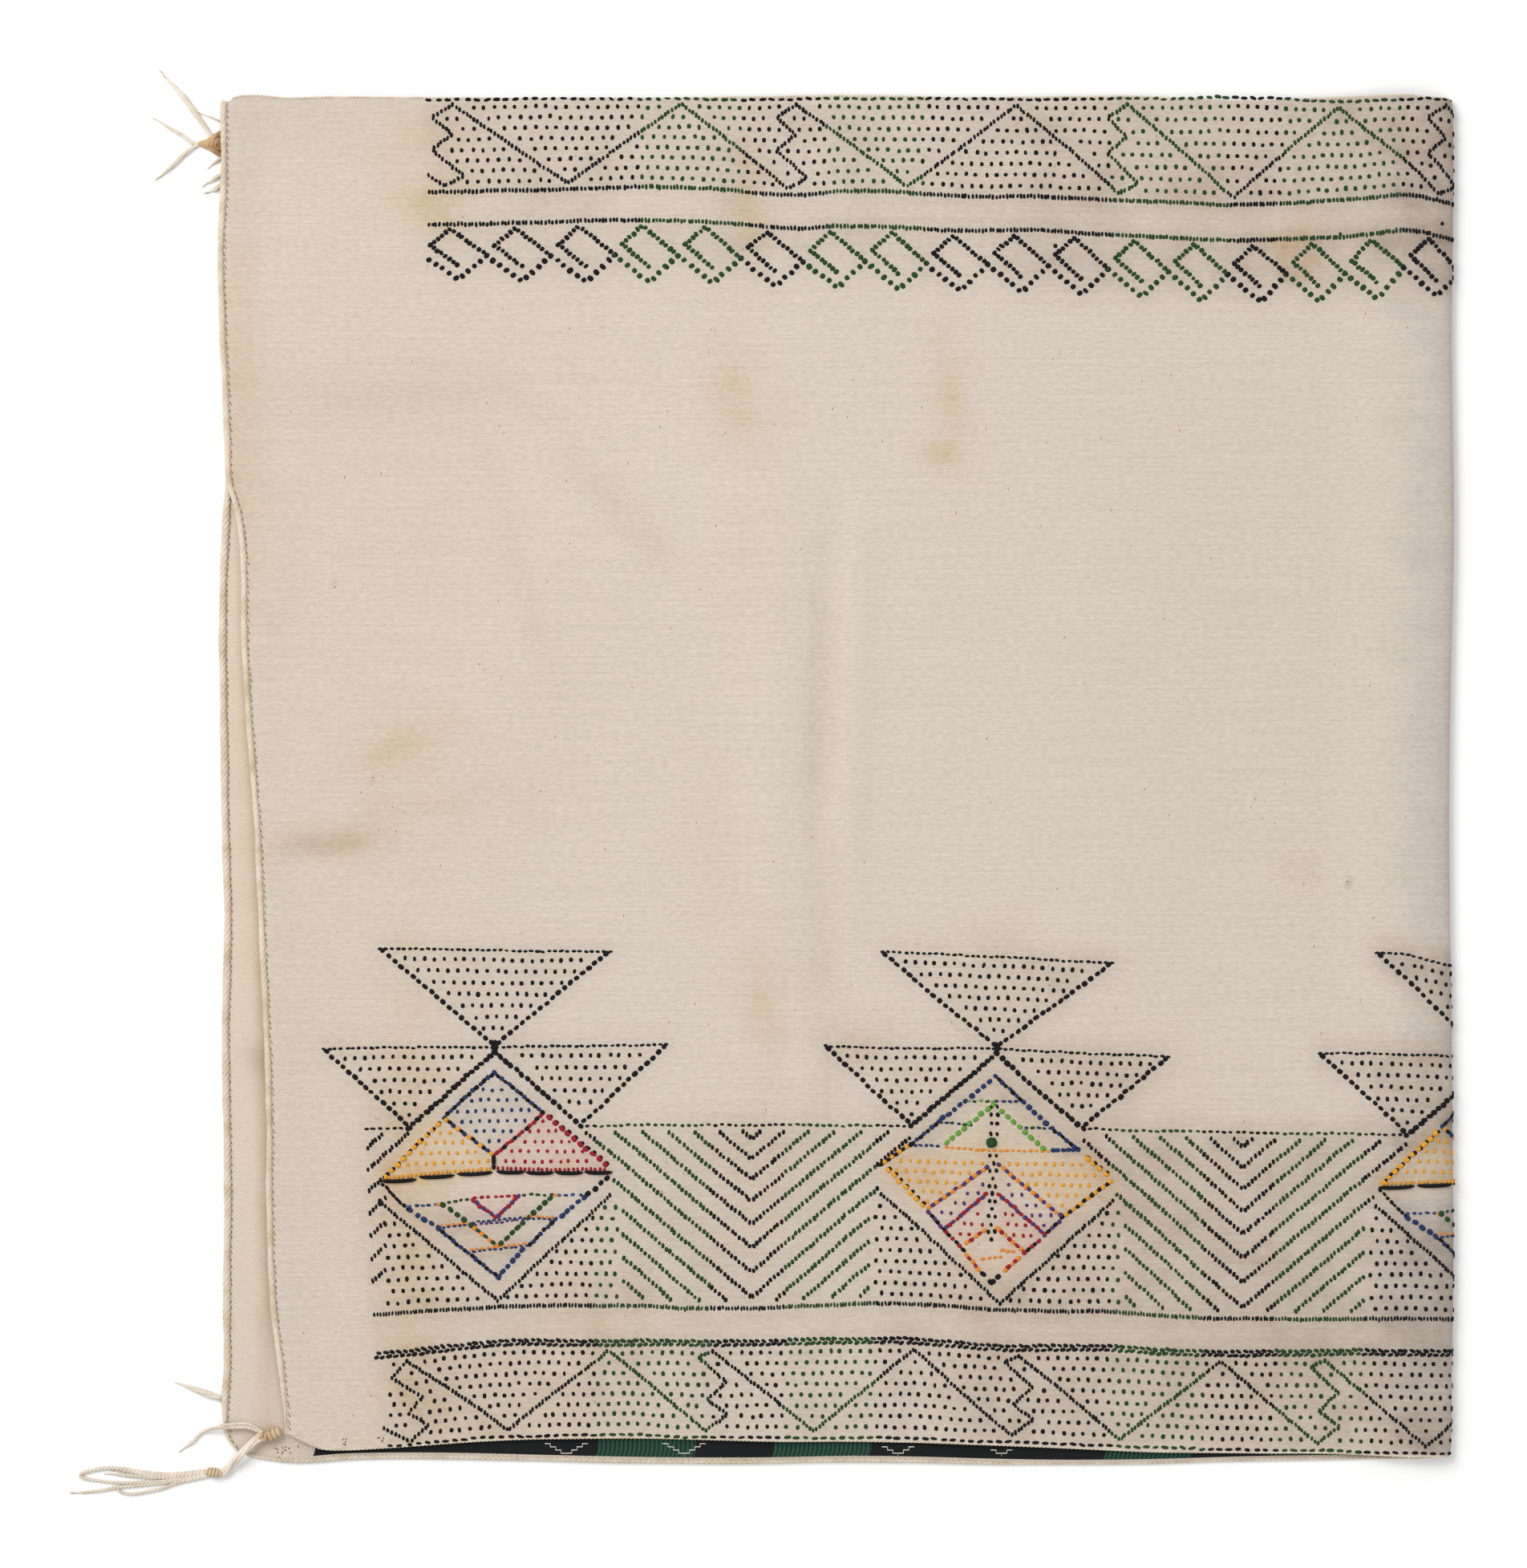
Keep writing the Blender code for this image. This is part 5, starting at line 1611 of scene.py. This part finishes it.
def makeFloats():
    strands = []
    for s, v, lean, size, yarn, outside in stitchRows:
        if size not in floatSizes:
            continue
        length, width, height = stitchSizes[size]
        along = np.linspace(-0.5, 0.5, 11)
        turned = math.radians(lean)
        sag = 0.8 * (1 - 4 * along**2) * math.cos(turned)
        places = s + along * length * math.cos(turned), v + along * length * math.sin(turned) - sag
        base, _, _, out = onCloth(*places)
        under = base[:, 2] < 2.0
        radii = width / 2 * np.sqrt(np.clip(1 - (2.02 * along) ** 6, 0.06, 1)) * np.where(under, 0.3, 1.0)
        strands.append((base + out * radii[:, None] * 0.45, radii))
    piece = makeStrands("black_floats", strands, yarnMaterials["black"], acrossCloth, 8, 0.8)
    return attachPiece(piece, "brocaded_cotton")


# White lines that step down the front of the brocade, between the layers
whiteSteps = {
    "points": ((-202.8, 15.6), (-114.6, 15.0), (45.6, 11.4), (123.0, 7.2)),  # x of the point, half width
    "foot": -506.4,
    "rise": 2.4,
    "run": 4.0,
    "radius": 0.4,
}


def makeWhiteSteps():
    strands = []
    surface = cloth["lowerHeight"] + cloth["thickness"] / 2 + 0.3
    for middle, half in whiteSteps["points"]:
        for way in (-1, 1):
            x, y = middle, whiteSteps["foot"]
            points = [(x, y, surface)]
            while abs(x - middle) < half:
                y += whiteSteps["rise"]
                points.append((x, y, surface))
                x += way * whiteSteps["run"]
                points.append((x, y, surface))
            strands.append((np.array(points), np.full(len(points), whiteSteps["radius"])))
    piece = makeStrands("white_steps", strands, yarnMaterials["white"], upward, 5, 0.7)
    return attachPiece(piece, "brocaded_cotton")


# The cords along the edges

cords = {
    "endHalf": 2.6,
    "endPitch": 10.2,
    "lowerEndHeight": 2.3,
    "upperEndHeight": 7.0,
    "edgeHalf": 1.1,
    "edgePitch": 6.0,
    "lowerEdgeHalf": 1.7,
    "lowerEdgePitch": 8.0,
    "upperEndWidth": 0.88,  # the upper end cord's width as a share of the lower's
    "footWidth": 0.34,  # how slim an end cord is at its foot, and how far up it widens
    "footReach": 54,
    "upperPlyDepth": 0.38,
    "lowerPlyDepth": 0.48,
    "upperStitch": 2.9,  # how far the overcast stitches reach on to the cloth
    "lowerStitch": 2.7,
    "whippingPitch": 4.4,
}


def endRoute(line, bottom, top, height):
    y = np.linspace(float(edgeAt(0.0, bottom)) + 1.5, float(edgeAt(0.0, top)) - 1.5, 700)
    x = sideAt(y, line, cords["endHalf"] * 0.9)
    uneven = 0.18 * np.sin(y / 23) + 0.12 * np.sin(y / 9.0)
    return np.stack((x + uneven, y, np.full_like(y, height)), -1)


def makeEndCord(name, nodeName, route, width, depth):
    path = endRoute(*route)
    y = path[:, 1]
    half = width * cords["endHalf"] * (1 + 0.07 * np.sin(y / 13) + 0.05 * np.sin(y / 5))
    half *= cords["footWidth"] + (1 - cords["footWidth"]) * ease((y - y[0]) / cords["footReach"])
    pitch = 2 * cords["endPitch"]
    strands = plies(path, half, pitch, upward, 4, flat=0.72, hand=-1.0, depth=depth, perTurn=16)
    piece = makeStrands(name, strands, cordMaterial, upward, 8, 0.84)
    return attachPiece(piece, "end_cord_cotton", nodeName)


def makeOvercast(route, surface, inward):  # stitches that hold an end cord to the cloth, and dark strands of painted shade where they enter it
    path = endRoute(*route)
    spots, _, _ = respaced(path, np.zeros(len(path)), cords["endPitch"] / 2)
    strands, paintedShade = [], []
    for spot in spots[1:-1]:
        reach = inward * dice.uniform(0.75, 1.1)
        shift = dice.normal(0, 0.6)
        onCord = spot + np.array((0.2, 1.4 + shift, cords["endHalf"] * 0.6))
        inCloth = np.array((spot[0] + reach, spot[1] - 0.6 + shift, surface))
        middle = (onCord + inCloth) / 2 + np.array((0.2, 0, 0.3))
        strands.append(smoothRoute([(*onCord, 0.6), (*middle, 0.75), (*inCloth, 0.5)], 3))
        # painted shade: a dark brown strand laid in the cloth where each stitch goes in
        start = inCloth + np.array((0.1, -0.6, 0))
        end = inCloth + np.array((1.1, -2.4, 0))
        paintedShade.append((np.array((start, (start + end) / 2, end)), np.array((0.25, 0.42, 0.25))))
    return strands, paintedShade


def edgeRoute(upperLine, lowerLine, inward):
    share = np.linspace(0.004, 1, 500)
    way = 1.0 if inward > 0 else -1.0
    thin = thinned(share) if inward > 0 else 1.0
    y = edgeAt(share, upperLine, way * cords["edgeHalf"])
    left = sideAt(y, upperEnd, cords["endHalf"])
    right = foldStart(y, cloth["topReach"])
    x = left + (right - left) * share
    top = edgeAt(share, upperTop)
    over = np.stack((x, y, upperHeight(x, y, left, right, top)), -1)
    turn = np.arange(1, 24) / 24
    lowerY = edgeAt(share, lowerLine, way * cords["lowerEdgeHalf"] * thin)
    lowerLeft = sideAt(lowerY, lowerEnd, cords["endHalf"])
    lowerRight = foldStart(lowerY, cloth["underReach"])
    lowerX = lowerLeft + (lowerRight - lowerLeft) * share
    fold = np.stack(foldPoints(x[-1], y[-1], lowerX[-1], lowerY[-1], turn), -1)
    under = np.stack((lowerX, lowerY, np.full_like(lowerX, cords["lowerEdgeHalf"])), -1)[::-1]
    return over, np.concatenate((over[-1:], fold, under[:1])), under


def makeWhipping():  # small slanting stitches that hold the lower layer's bottom cord to the brocade
    _, _, under = edgeRoute(upperBottom, lowerBottom, 1)
    spots, _, _ = respaced(under, np.zeros(len(under)), cords["whippingPitch"])
    surface = cloth["lowerHeight"] + cloth["thickness"] / 2
    strands = []
    for spot in spots[6:-1]:
        shift = dice.normal(0, 0.5)
        rise = dice.uniform(2.2, 3.6) * (1 if spot[0] < 100 else 0.7)
        low = np.array((spot[0] + 1.3 + shift, spot[1] + 0.5, 2.9))
        high = np.array((spot[0] - 1.2 + shift, spot[1] + rise, surface + 0.2))
        middle = (low + high) / 2 + np.array((0, 0, 0.5))
        strands.append(smoothRoute([(*low, 0.4), (*middle, 0.48), (*high, 0.3)], 3))
    piece = makeStrands("bottom_whipping", strands, edgeMaterial, upward, 5, 0.8)
    attachPiece(piece, "edge_cord_cotton")


def makeEdgeCord(name, nodeName, upperLine, lowerLine, inward):
    over, fold, under = edgeRoute(upperLine, lowerLine, inward)
    path = np.concatenate((over, fold[1:-1]))
    half = np.full(len(path), cords["edgeHalf"])
    half *= 1 + 0.1 * np.sin(path[:, 0] / 17)
    strands = plies(path, half, cords["edgePitch"], acrossCloth, flat=1.0, hand=1.0, perTurn=6)
    lowerHalf = cords["lowerEdgeHalf"] if inward > 0 else cords["edgeHalf"]
    half = np.full(len(under) + 1, lowerHalf) * (1 + 0.08 * np.sin(np.arange(len(under) + 1) / 9))
    if inward > 0:
        half *= thinned(np.linspace(1, 0.004, len(half)))
    half[:12] = np.linspace(cords["edgeHalf"], lowerHalf, 12)
    pitch = cords["lowerEdgePitch"] if inward > 0 else cords["edgePitch"]
    path = np.concatenate((fold[-2:-1], under))
    strands += plies(path, half, pitch, acrossCloth, flat=0.95, hand=1.0, perTurn=6)
    piece = makeStrands(name, strands, edgeMaterial, acrossCloth, 6, 1.0)
    return attachPiece(piece, "edge_cord_cotton", nodeName)


# The tassels, laid as in the solids. Each point of a route is x, y, z, radius

topStrip = ((-458.7, 496, 1, 1), (-458.9, 484, 1.3, 1.3), (-459.2, 462, 1.4, 1.4), (-459, 440.5, 1.1, 1.1))
topKnot = (
    (-460.2, 475.6, 1.8, 1.8),
    (-463.8, 475.8, 2.8, 2.8),
    (-468, 476.2, 3.2, 3.2),
    (-473, 476.4, 2.2, 2.2),
    (-478.6, 476.3, 1.2, 1.2),
)
topShoulders = (
    ((-460.6, 485.5, 1.4, 1.2), (-464.6, 482.6, 2.4, 2.2), (-470, 478.8, 2.6, 2), (-477, 476.8, 1.8, 1.2)),
    ((-460.6, 467.0, 1.4, 1.2), (-464.4, 469.8, 2.3, 2.1), (-469.6, 473.2, 2.5, 2), (-477, 475.4, 1.8, 1.2)),
    ((-460.2, 479.5, 2.0, 1.4), (-465.5, 478.2, 3.6, 1.9), (-471, 476.8, 3.2, 1.7), (-476, 476.0, 2.0, 1.1)),
    ((-460.2, 472.0, 2.0, 1.4), (-465.5, 473.6, 3.6, 1.8), (-471, 475.4, 3.2, 1.6), (-476, 475.8, 2.0, 1.1)),
)
flatStrands = (
    (
        (-467, 478.5, 2.0, 1.7),
        (-475.2, 491.4, 1.8, 2.0),
        (-482.8, 501.7, 2.2, 2.4),
        (-489.7, 511.4, 2.2, 2.4),
        (-497.2, 519.7, 1.7, 1.7),
        (-505.9, 529.3, 0.3, 0.3),
    ),
    (
        (-476.5, 476.2, 1.2, 1.2),
        (-483.5, 477.5, 1.5, 1.6),
        (-489.7, 482.1, 1.6, 1.7),
        (-497.2, 486.6, 1.4, 1.4),
        (-511, 494.9, 0.3, 0.3),
    ),
    (
        (-476.7, 476.6, 1.2, 1.2),
        (-484.9, 472.1, 1.6, 1.7),
        (-491.8, 465.9, 1.6, 1.7),
        (-500.5, 457.6, 1.4, 1.5),
        (-508.3, 451.1, 0.3, 0.3),
    ),
    ((-459.4, 492.4, 0.8, 0.9), (-467.9, 495.6, 0.7, 0.8), (-475.9, 498.7, 0.3, 0.3)),
    ((-459.4, 467.4, 1.2, 1.3), (-464.8, 463.4, 1.1, 1.2), (-469.3, 459.7, 0.3, 0.4)),
    ((-459.4, 454, 1.2, 1.3), (-467, 450.2, 1.4, 1.6), (-473.2, 445.6, 0.3, 0.4)),
    ((-459.6, 446.8, 1.4, 1.5), (-465, 443, 1.8, 1.9), (-470.6, 440.4, 0.4, 0.5)),
)
cornerKnot = (
    (-416.6, -485.6, 6.5, 2),
    (-418.8, -487.2, 6.5, 3.6),
    (-422.6, -489.2, 6.4, 3.9),
    (-426.6, -491.2, 6.3, 3.6),
    (-431.2, -490.4, 6.4, 2.9),
    (-434.4, -489.4, 6.5, 1.6),
)
secondWrapping = (
    (-461.4, -519.2, 1.8, 1.8),
    (-463.6, -518.8, 3.0, 3.0),
    (-466.8, -518.3, 3.4, 3.4),
    (-470.2, -518.0, 3.0, 3.0),
    (-472.4, -517.8, 1.8, 1.8),
)
bundles = (
    (
        (-428.6, -491.6, 7.2, 2.1),
        (-435.8, -494.8, 7.6, 2.6),
        (-444.4, -503.4, 7.8, 2.8),
        (-452.2, -511.2, 5.4, 2.8),
        (-458.6, -519, 2.8, 2.6),
        (-463.8, -519.6, 2.2, 2),
    ),
    (
        (-427.8, -490.6, 7.0, 2),
        (-434.2, -491.4, 7.5, 2.3),
        (-442, -499.4, 7.7, 2.5),
        (-449.8, -507.2, 6, 2.5),
        (-456, -515.2, 3.2, 2.3),
        (-463.8, -517.6, 2, 1.9),
    ),
)
plied = (
    (
        (-429.8, -488.4, 6.6, 1.1),
        (-440, -484.4, 6.3, 1.2),
        (-450, -484, 6.3, 1.2),
        (-459.6, -484.6, 6.3, 1.2),
        (-468.4, -485.6, 4.2, 1.2),
        (-476.6, -489.2, 1.2, 1.2),
        (-482.8, -495.6, 1.2, 1.2),
        (-490.2, -501.3, 0.4, 0.4),
    ),
    ((-429.4, -487.6, 6.6, 1), (-440, -481.8, 6.3, 1), (-450, -481.4, 6.3, 1), (-459, -482.4, 6.3, 0.6)),
    (
        (-468, -516.4, 1.2, 1.2),
        (-495, -519.6, 1.2, 1.2),
        (-513.2, -519, 1.3, 1.3),
        (-540.7, -515.2, 1.4, 1.4),
        (-553.7, -515.9, 1.4, 1.4),
        (-564.1, -518.5, 1.3, 1.3),
        (-567, -520.9, 1.3, 1.3),
        (-562.8, -523.1, 1.2, 1.2),
        (-552.4, -524.7, 1.1, 1.1),
        (-538, -526.2, 1.1, 1.1),
        (-518, -526, 1.2, 1.2),
        (-492, -523.4, 1.2, 1.2),
        (-468, -519.8, 1.2, 1.2),
    ),
    (
        (-468, -517.2, 1.2, 1.2),
        (-490, -520.2, 1.4, 1.2),
        (-514, -520.6, 1.4, 1.2),
        (-528, -518.0, 1.4, 1.2),
        (-541, -517.0, 0.4, 0.4),
    ),
    (
        (-468, -518.2, 1.2, 1.2),
        (-492, -521.6, 1.2, 1.2),
        (-512, -522.2, 1.2, 1.2),
        (-530.4, -520.6, 1.4, 1.4),
        (-545.9, -519.8, 0.4, 0.4),
    ),
    (
        (-468, -519.8, 1.2, 1.2),
        (-500.4, -525.6, 1.2, 1.2),
        (-522, -528, 1.2, 1.2),
        (-538.1, -529.6, 1.2, 1.2),
        (-552.4, -532.1, 1.1, 1.1),
        (-562.8, -533.5, 0.8, 0.8),
        (-571.2, -533.9, 0.4, 0.4),
    ),
    (
        (-468, -520.6, 1.2, 1.2),
        (-494, -526.2, 1.2, 1.2),
        (-505, -530.4, 1.1, 1.1),
        (-513.3, -532.2, 1.1, 1.1),
        (-523.8, -534.2, 1.1, 1.1),
        (-531.6, -534.4, 1.1, 1.1),
        (-537.6, -532.6, 1.1, 1.1),
        (-539, -530, 0.9, 0.9),
    ),
)
lowerEndStrand = (
    (-461.6, -462.6, 2.0, 2.3),
    (-470.4, -459.8, 1.9, 2.7),
    (-478.2, -457, 1.6, 2.4),
    (-485.4, -454.4, 1.2, 1.7),
    (-493.2, -451.9, 0.3, 0.4),
)


tassels = {
    "loosePitch": 52.0,
    "shoulderPitch": 26.0,
    "stripPitch": 7.0,
    "bundlePitch": 60.0,
    "pliedPitch": 5.8,
    "pliedWidth": 1.2,  # the plied cords, against their routes' radii
    "topWrap": (0.8, 2.3),  # the wrapping yarn's radius and pitch
    "cornerWrap": (1.5, 3.5),
    "secondWrap": (0.9, 2.1),
    "frayLength": 4.0,
    "fraySpread": 0.14,
}


def looseStrand(route):  # several yarns lying together, frayed at the end
    path, radii = smoothRoute(route)
    strands = plies(path, radii, tassels["loosePitch"], upward, 4, flat=0.6, depth=0.5, perTurn=24)
    return strands + frayed(path, 9, tassels["frayLength"], tassels["fraySpread"])


def makeTopTassel():
    knots = [smoothRoute(route) for route in (topKnot, *topShoulders)]
    strands = []
    for path, radii in knots:
        pitch = tassels["shoulderPitch"]
        strands += plies(path, radii, pitch, upward, 3, flat=0.8, depth=0.42, perTurn=16)
    path, radii = smoothRoute(topKnot)
    strands.append(wound(path[6:14], radii[6:14] * 0.95, *tassels["topWrap"], upward))
    knot = makeStrands("top_tassel_knot", strands, knotMaterial, upward, 7, 0.9)
    attachPiece(knot, "tassel_cotton", "tassel_top")
    strands = plies(*smoothRoute(topStrip), tassels["stripPitch"], upward, 2, flat=0.9)
    for route in flatStrands:
        strands += looseStrand(route)
    loose = makeStrands("top_tassel_strands", strands, tasselMaterial, upward, 6, 0.7)
    attachPiece(loose, "tassel_cotton", "tassel_top")


def makeBottomTassel():
    strands = []
    for route, wrap in ((cornerKnot, "cornerWrap"), (secondWrapping, "secondWrap")):
        path, radii = smoothRoute(route)
        strands.append((path, radii * 0.8))
        strands.append(wound(path[2:-2], radii[2:-2], *tassels[wrap], upward))
    knots = makeStrands("bottom_tassel_knots", strands, knotPaleMaterial, upward, 8, 0.95)
    attachPiece(knots, "tassel_cotton", "tassel_bottom")
    strands = []
    for route in bundles:
        pitch = tassels["bundlePitch"]
        strands += plies(*smoothRoute(route), pitch, upward, 3, flat=0.6, depth=0.5, perTurn=20)
    for route in plied:
        path, radii = smoothRoute(route)
        radii = radii * tassels["pliedWidth"]
        strands += plies(path, radii, tassels["pliedPitch"], upward, 2, depth=0.46, perTurn=8)
        if route[-1][3] < 0.9:  # a loop's end stays whole
            strands += frayed(path, 7, tassels["frayLength"], tassels["fraySpread"])
    loose = makeStrands("bottom_tassel_cords", strands, tasselMaterial, upward, 6, 0.95)
    attachPiece(loose, "tassel_cotton", "tassel_bottom")


def makeEdgeTrim():
    upperRoute = (upperEnd, upperBottom, upperTop, cords["upperEndHeight"])
    lowerRoute = (lowerEnd, lowerBottom, lowerTop, cords["lowerEndHeight"])
    width, depth = cords["upperEndWidth"], cords["upperPlyDepth"]
    makeEndCord("upper_end_cord", "end_cord_upper", upperRoute, width, depth)
    makeEndCord("lower_end_cord", "end_cord_lower", lowerRoute, 1.0, cords["lowerPlyDepth"])
    surface = cloth["openEndHeight"] + cloth["thickness"] / 2
    upper, upperPaintedShade = makeOvercast(upperRoute, surface, cords["upperStitch"])
    surface = cloth["lowerHeight"] + cloth["thickness"] / 2
    lower, lowerPaintedShade = makeOvercast(lowerRoute, surface, cords["lowerStitch"])
    overcast = makeStrands("overcast_stitches", upper + lower, cordMaterial, upward, 5, 0.8)
    attachPiece(overcast, "end_cord_cotton")
    # the dark strands are painted shade in the needle holes and the gaps between the overcast stitches
    paintedShade = makeStrands("overcast_painted_shade", upperPaintedShade + lowerPaintedShade, yarnMaterials["brown"], upward, 4, 0.8)
    attachPiece(paintedShade, "end_cord_cotton")
    makeEdgeCord("top_cord", "top_edge_cord", upperTop, lowerTop, -1)
    makeEdgeCord("bottom_cord", "bottom_edge_cord", upperBottom, lowerBottom, 1)
    makeWhipping()


print("laying the cords and tassels")
stitchPieces += [makeFloats(), makeWhiteSteps()]
makeEdgeTrim()
makeTopTassel()
makeBottomTassel()
strands = looseStrand(lowerEndStrand)
lowerEndTassel = makeStrands("lower_end_strand", strands, tasselMaterial, upward, 6, 0.7)
attachPiece(lowerEndTassel, "tassel_cotton", "tassel_lower_end")


# The floor, the light and the camera

studio = {
    "floorSize": 9.0,
    "floorColour": colour(254, 254, 254),
    "cameraOffset": (-0.0552, -0.003),
    "photoHeight": 1.173,
    "lens": 120.0,
    "keyPower": 226.0,
    "keyPlace": (-3.1, 2.45, 4.05),
    "keySize": 3.2,
    "fillPower": 35.0,
    "fillPlace": (1.5, -1.3, 3.3),
    "fillSize": 3.0,
    "skyStrength": 0.44,
}


def makeStudio():
    bpy.ops.mesh.primitive_plane_add(size=studio["floorSize"], location=(0, 0, 0))
    floor = bpy.context.object
    floor.name = "studio_floor"
    material, nodes, links, shader = newMaterial("paleFloor", 0.95, 0.0)
    shader.inputs["Base Color"].default_value = studio["floorColour"]
    floor.data.materials.append(material)
    for name in ("key", "fill"):
        place = studio[name + "Place"]
        bpy.ops.object.light_add(type="AREA", location=place)
        light = bpy.context.object
        light.name = name + "Light"
        light.data.size = studio[name + "Size"]
        light.data.energy = studio[name + "Power"]
        light.rotation_euler = Vector(-np.array(place)).to_track_quat("-Z", "Y").to_euler()
    world = bpy.data.worlds.new("softRoom")
    world.use_nodes = True
    world.node_tree.nodes["Background"].inputs["Color"].default_value = (1, 1, 1, 1)
    world.node_tree.nodes["Background"].inputs["Strength"].default_value = studio["skyStrength"]
    bpy.context.scene.world = world
    bpy.context.scene.view_settings.view_transform = "Standard"
    half = studio["photoHeight"] / 2
    height = half * studio["lens"] / 18.0 + cloth["restHeight"] * mm
    bpy.ops.object.camera_add(location=(*studio["cameraOffset"], height), rotation=(0, 0, 0))
    camera = bpy.context.object
    camera.name = "photoCamera"
    camera.data.lens = studio["lens"]
    camera.data.sensor_width = 36.0
    camera.data.clip_end = 50.0
    bpy.context.scene.camera = camera


print("setting up the studio")
makeStudio()

print("triangles of the cloth:", sum(len(face.vertices) - 2 for face in clothPiece.data.polygons))
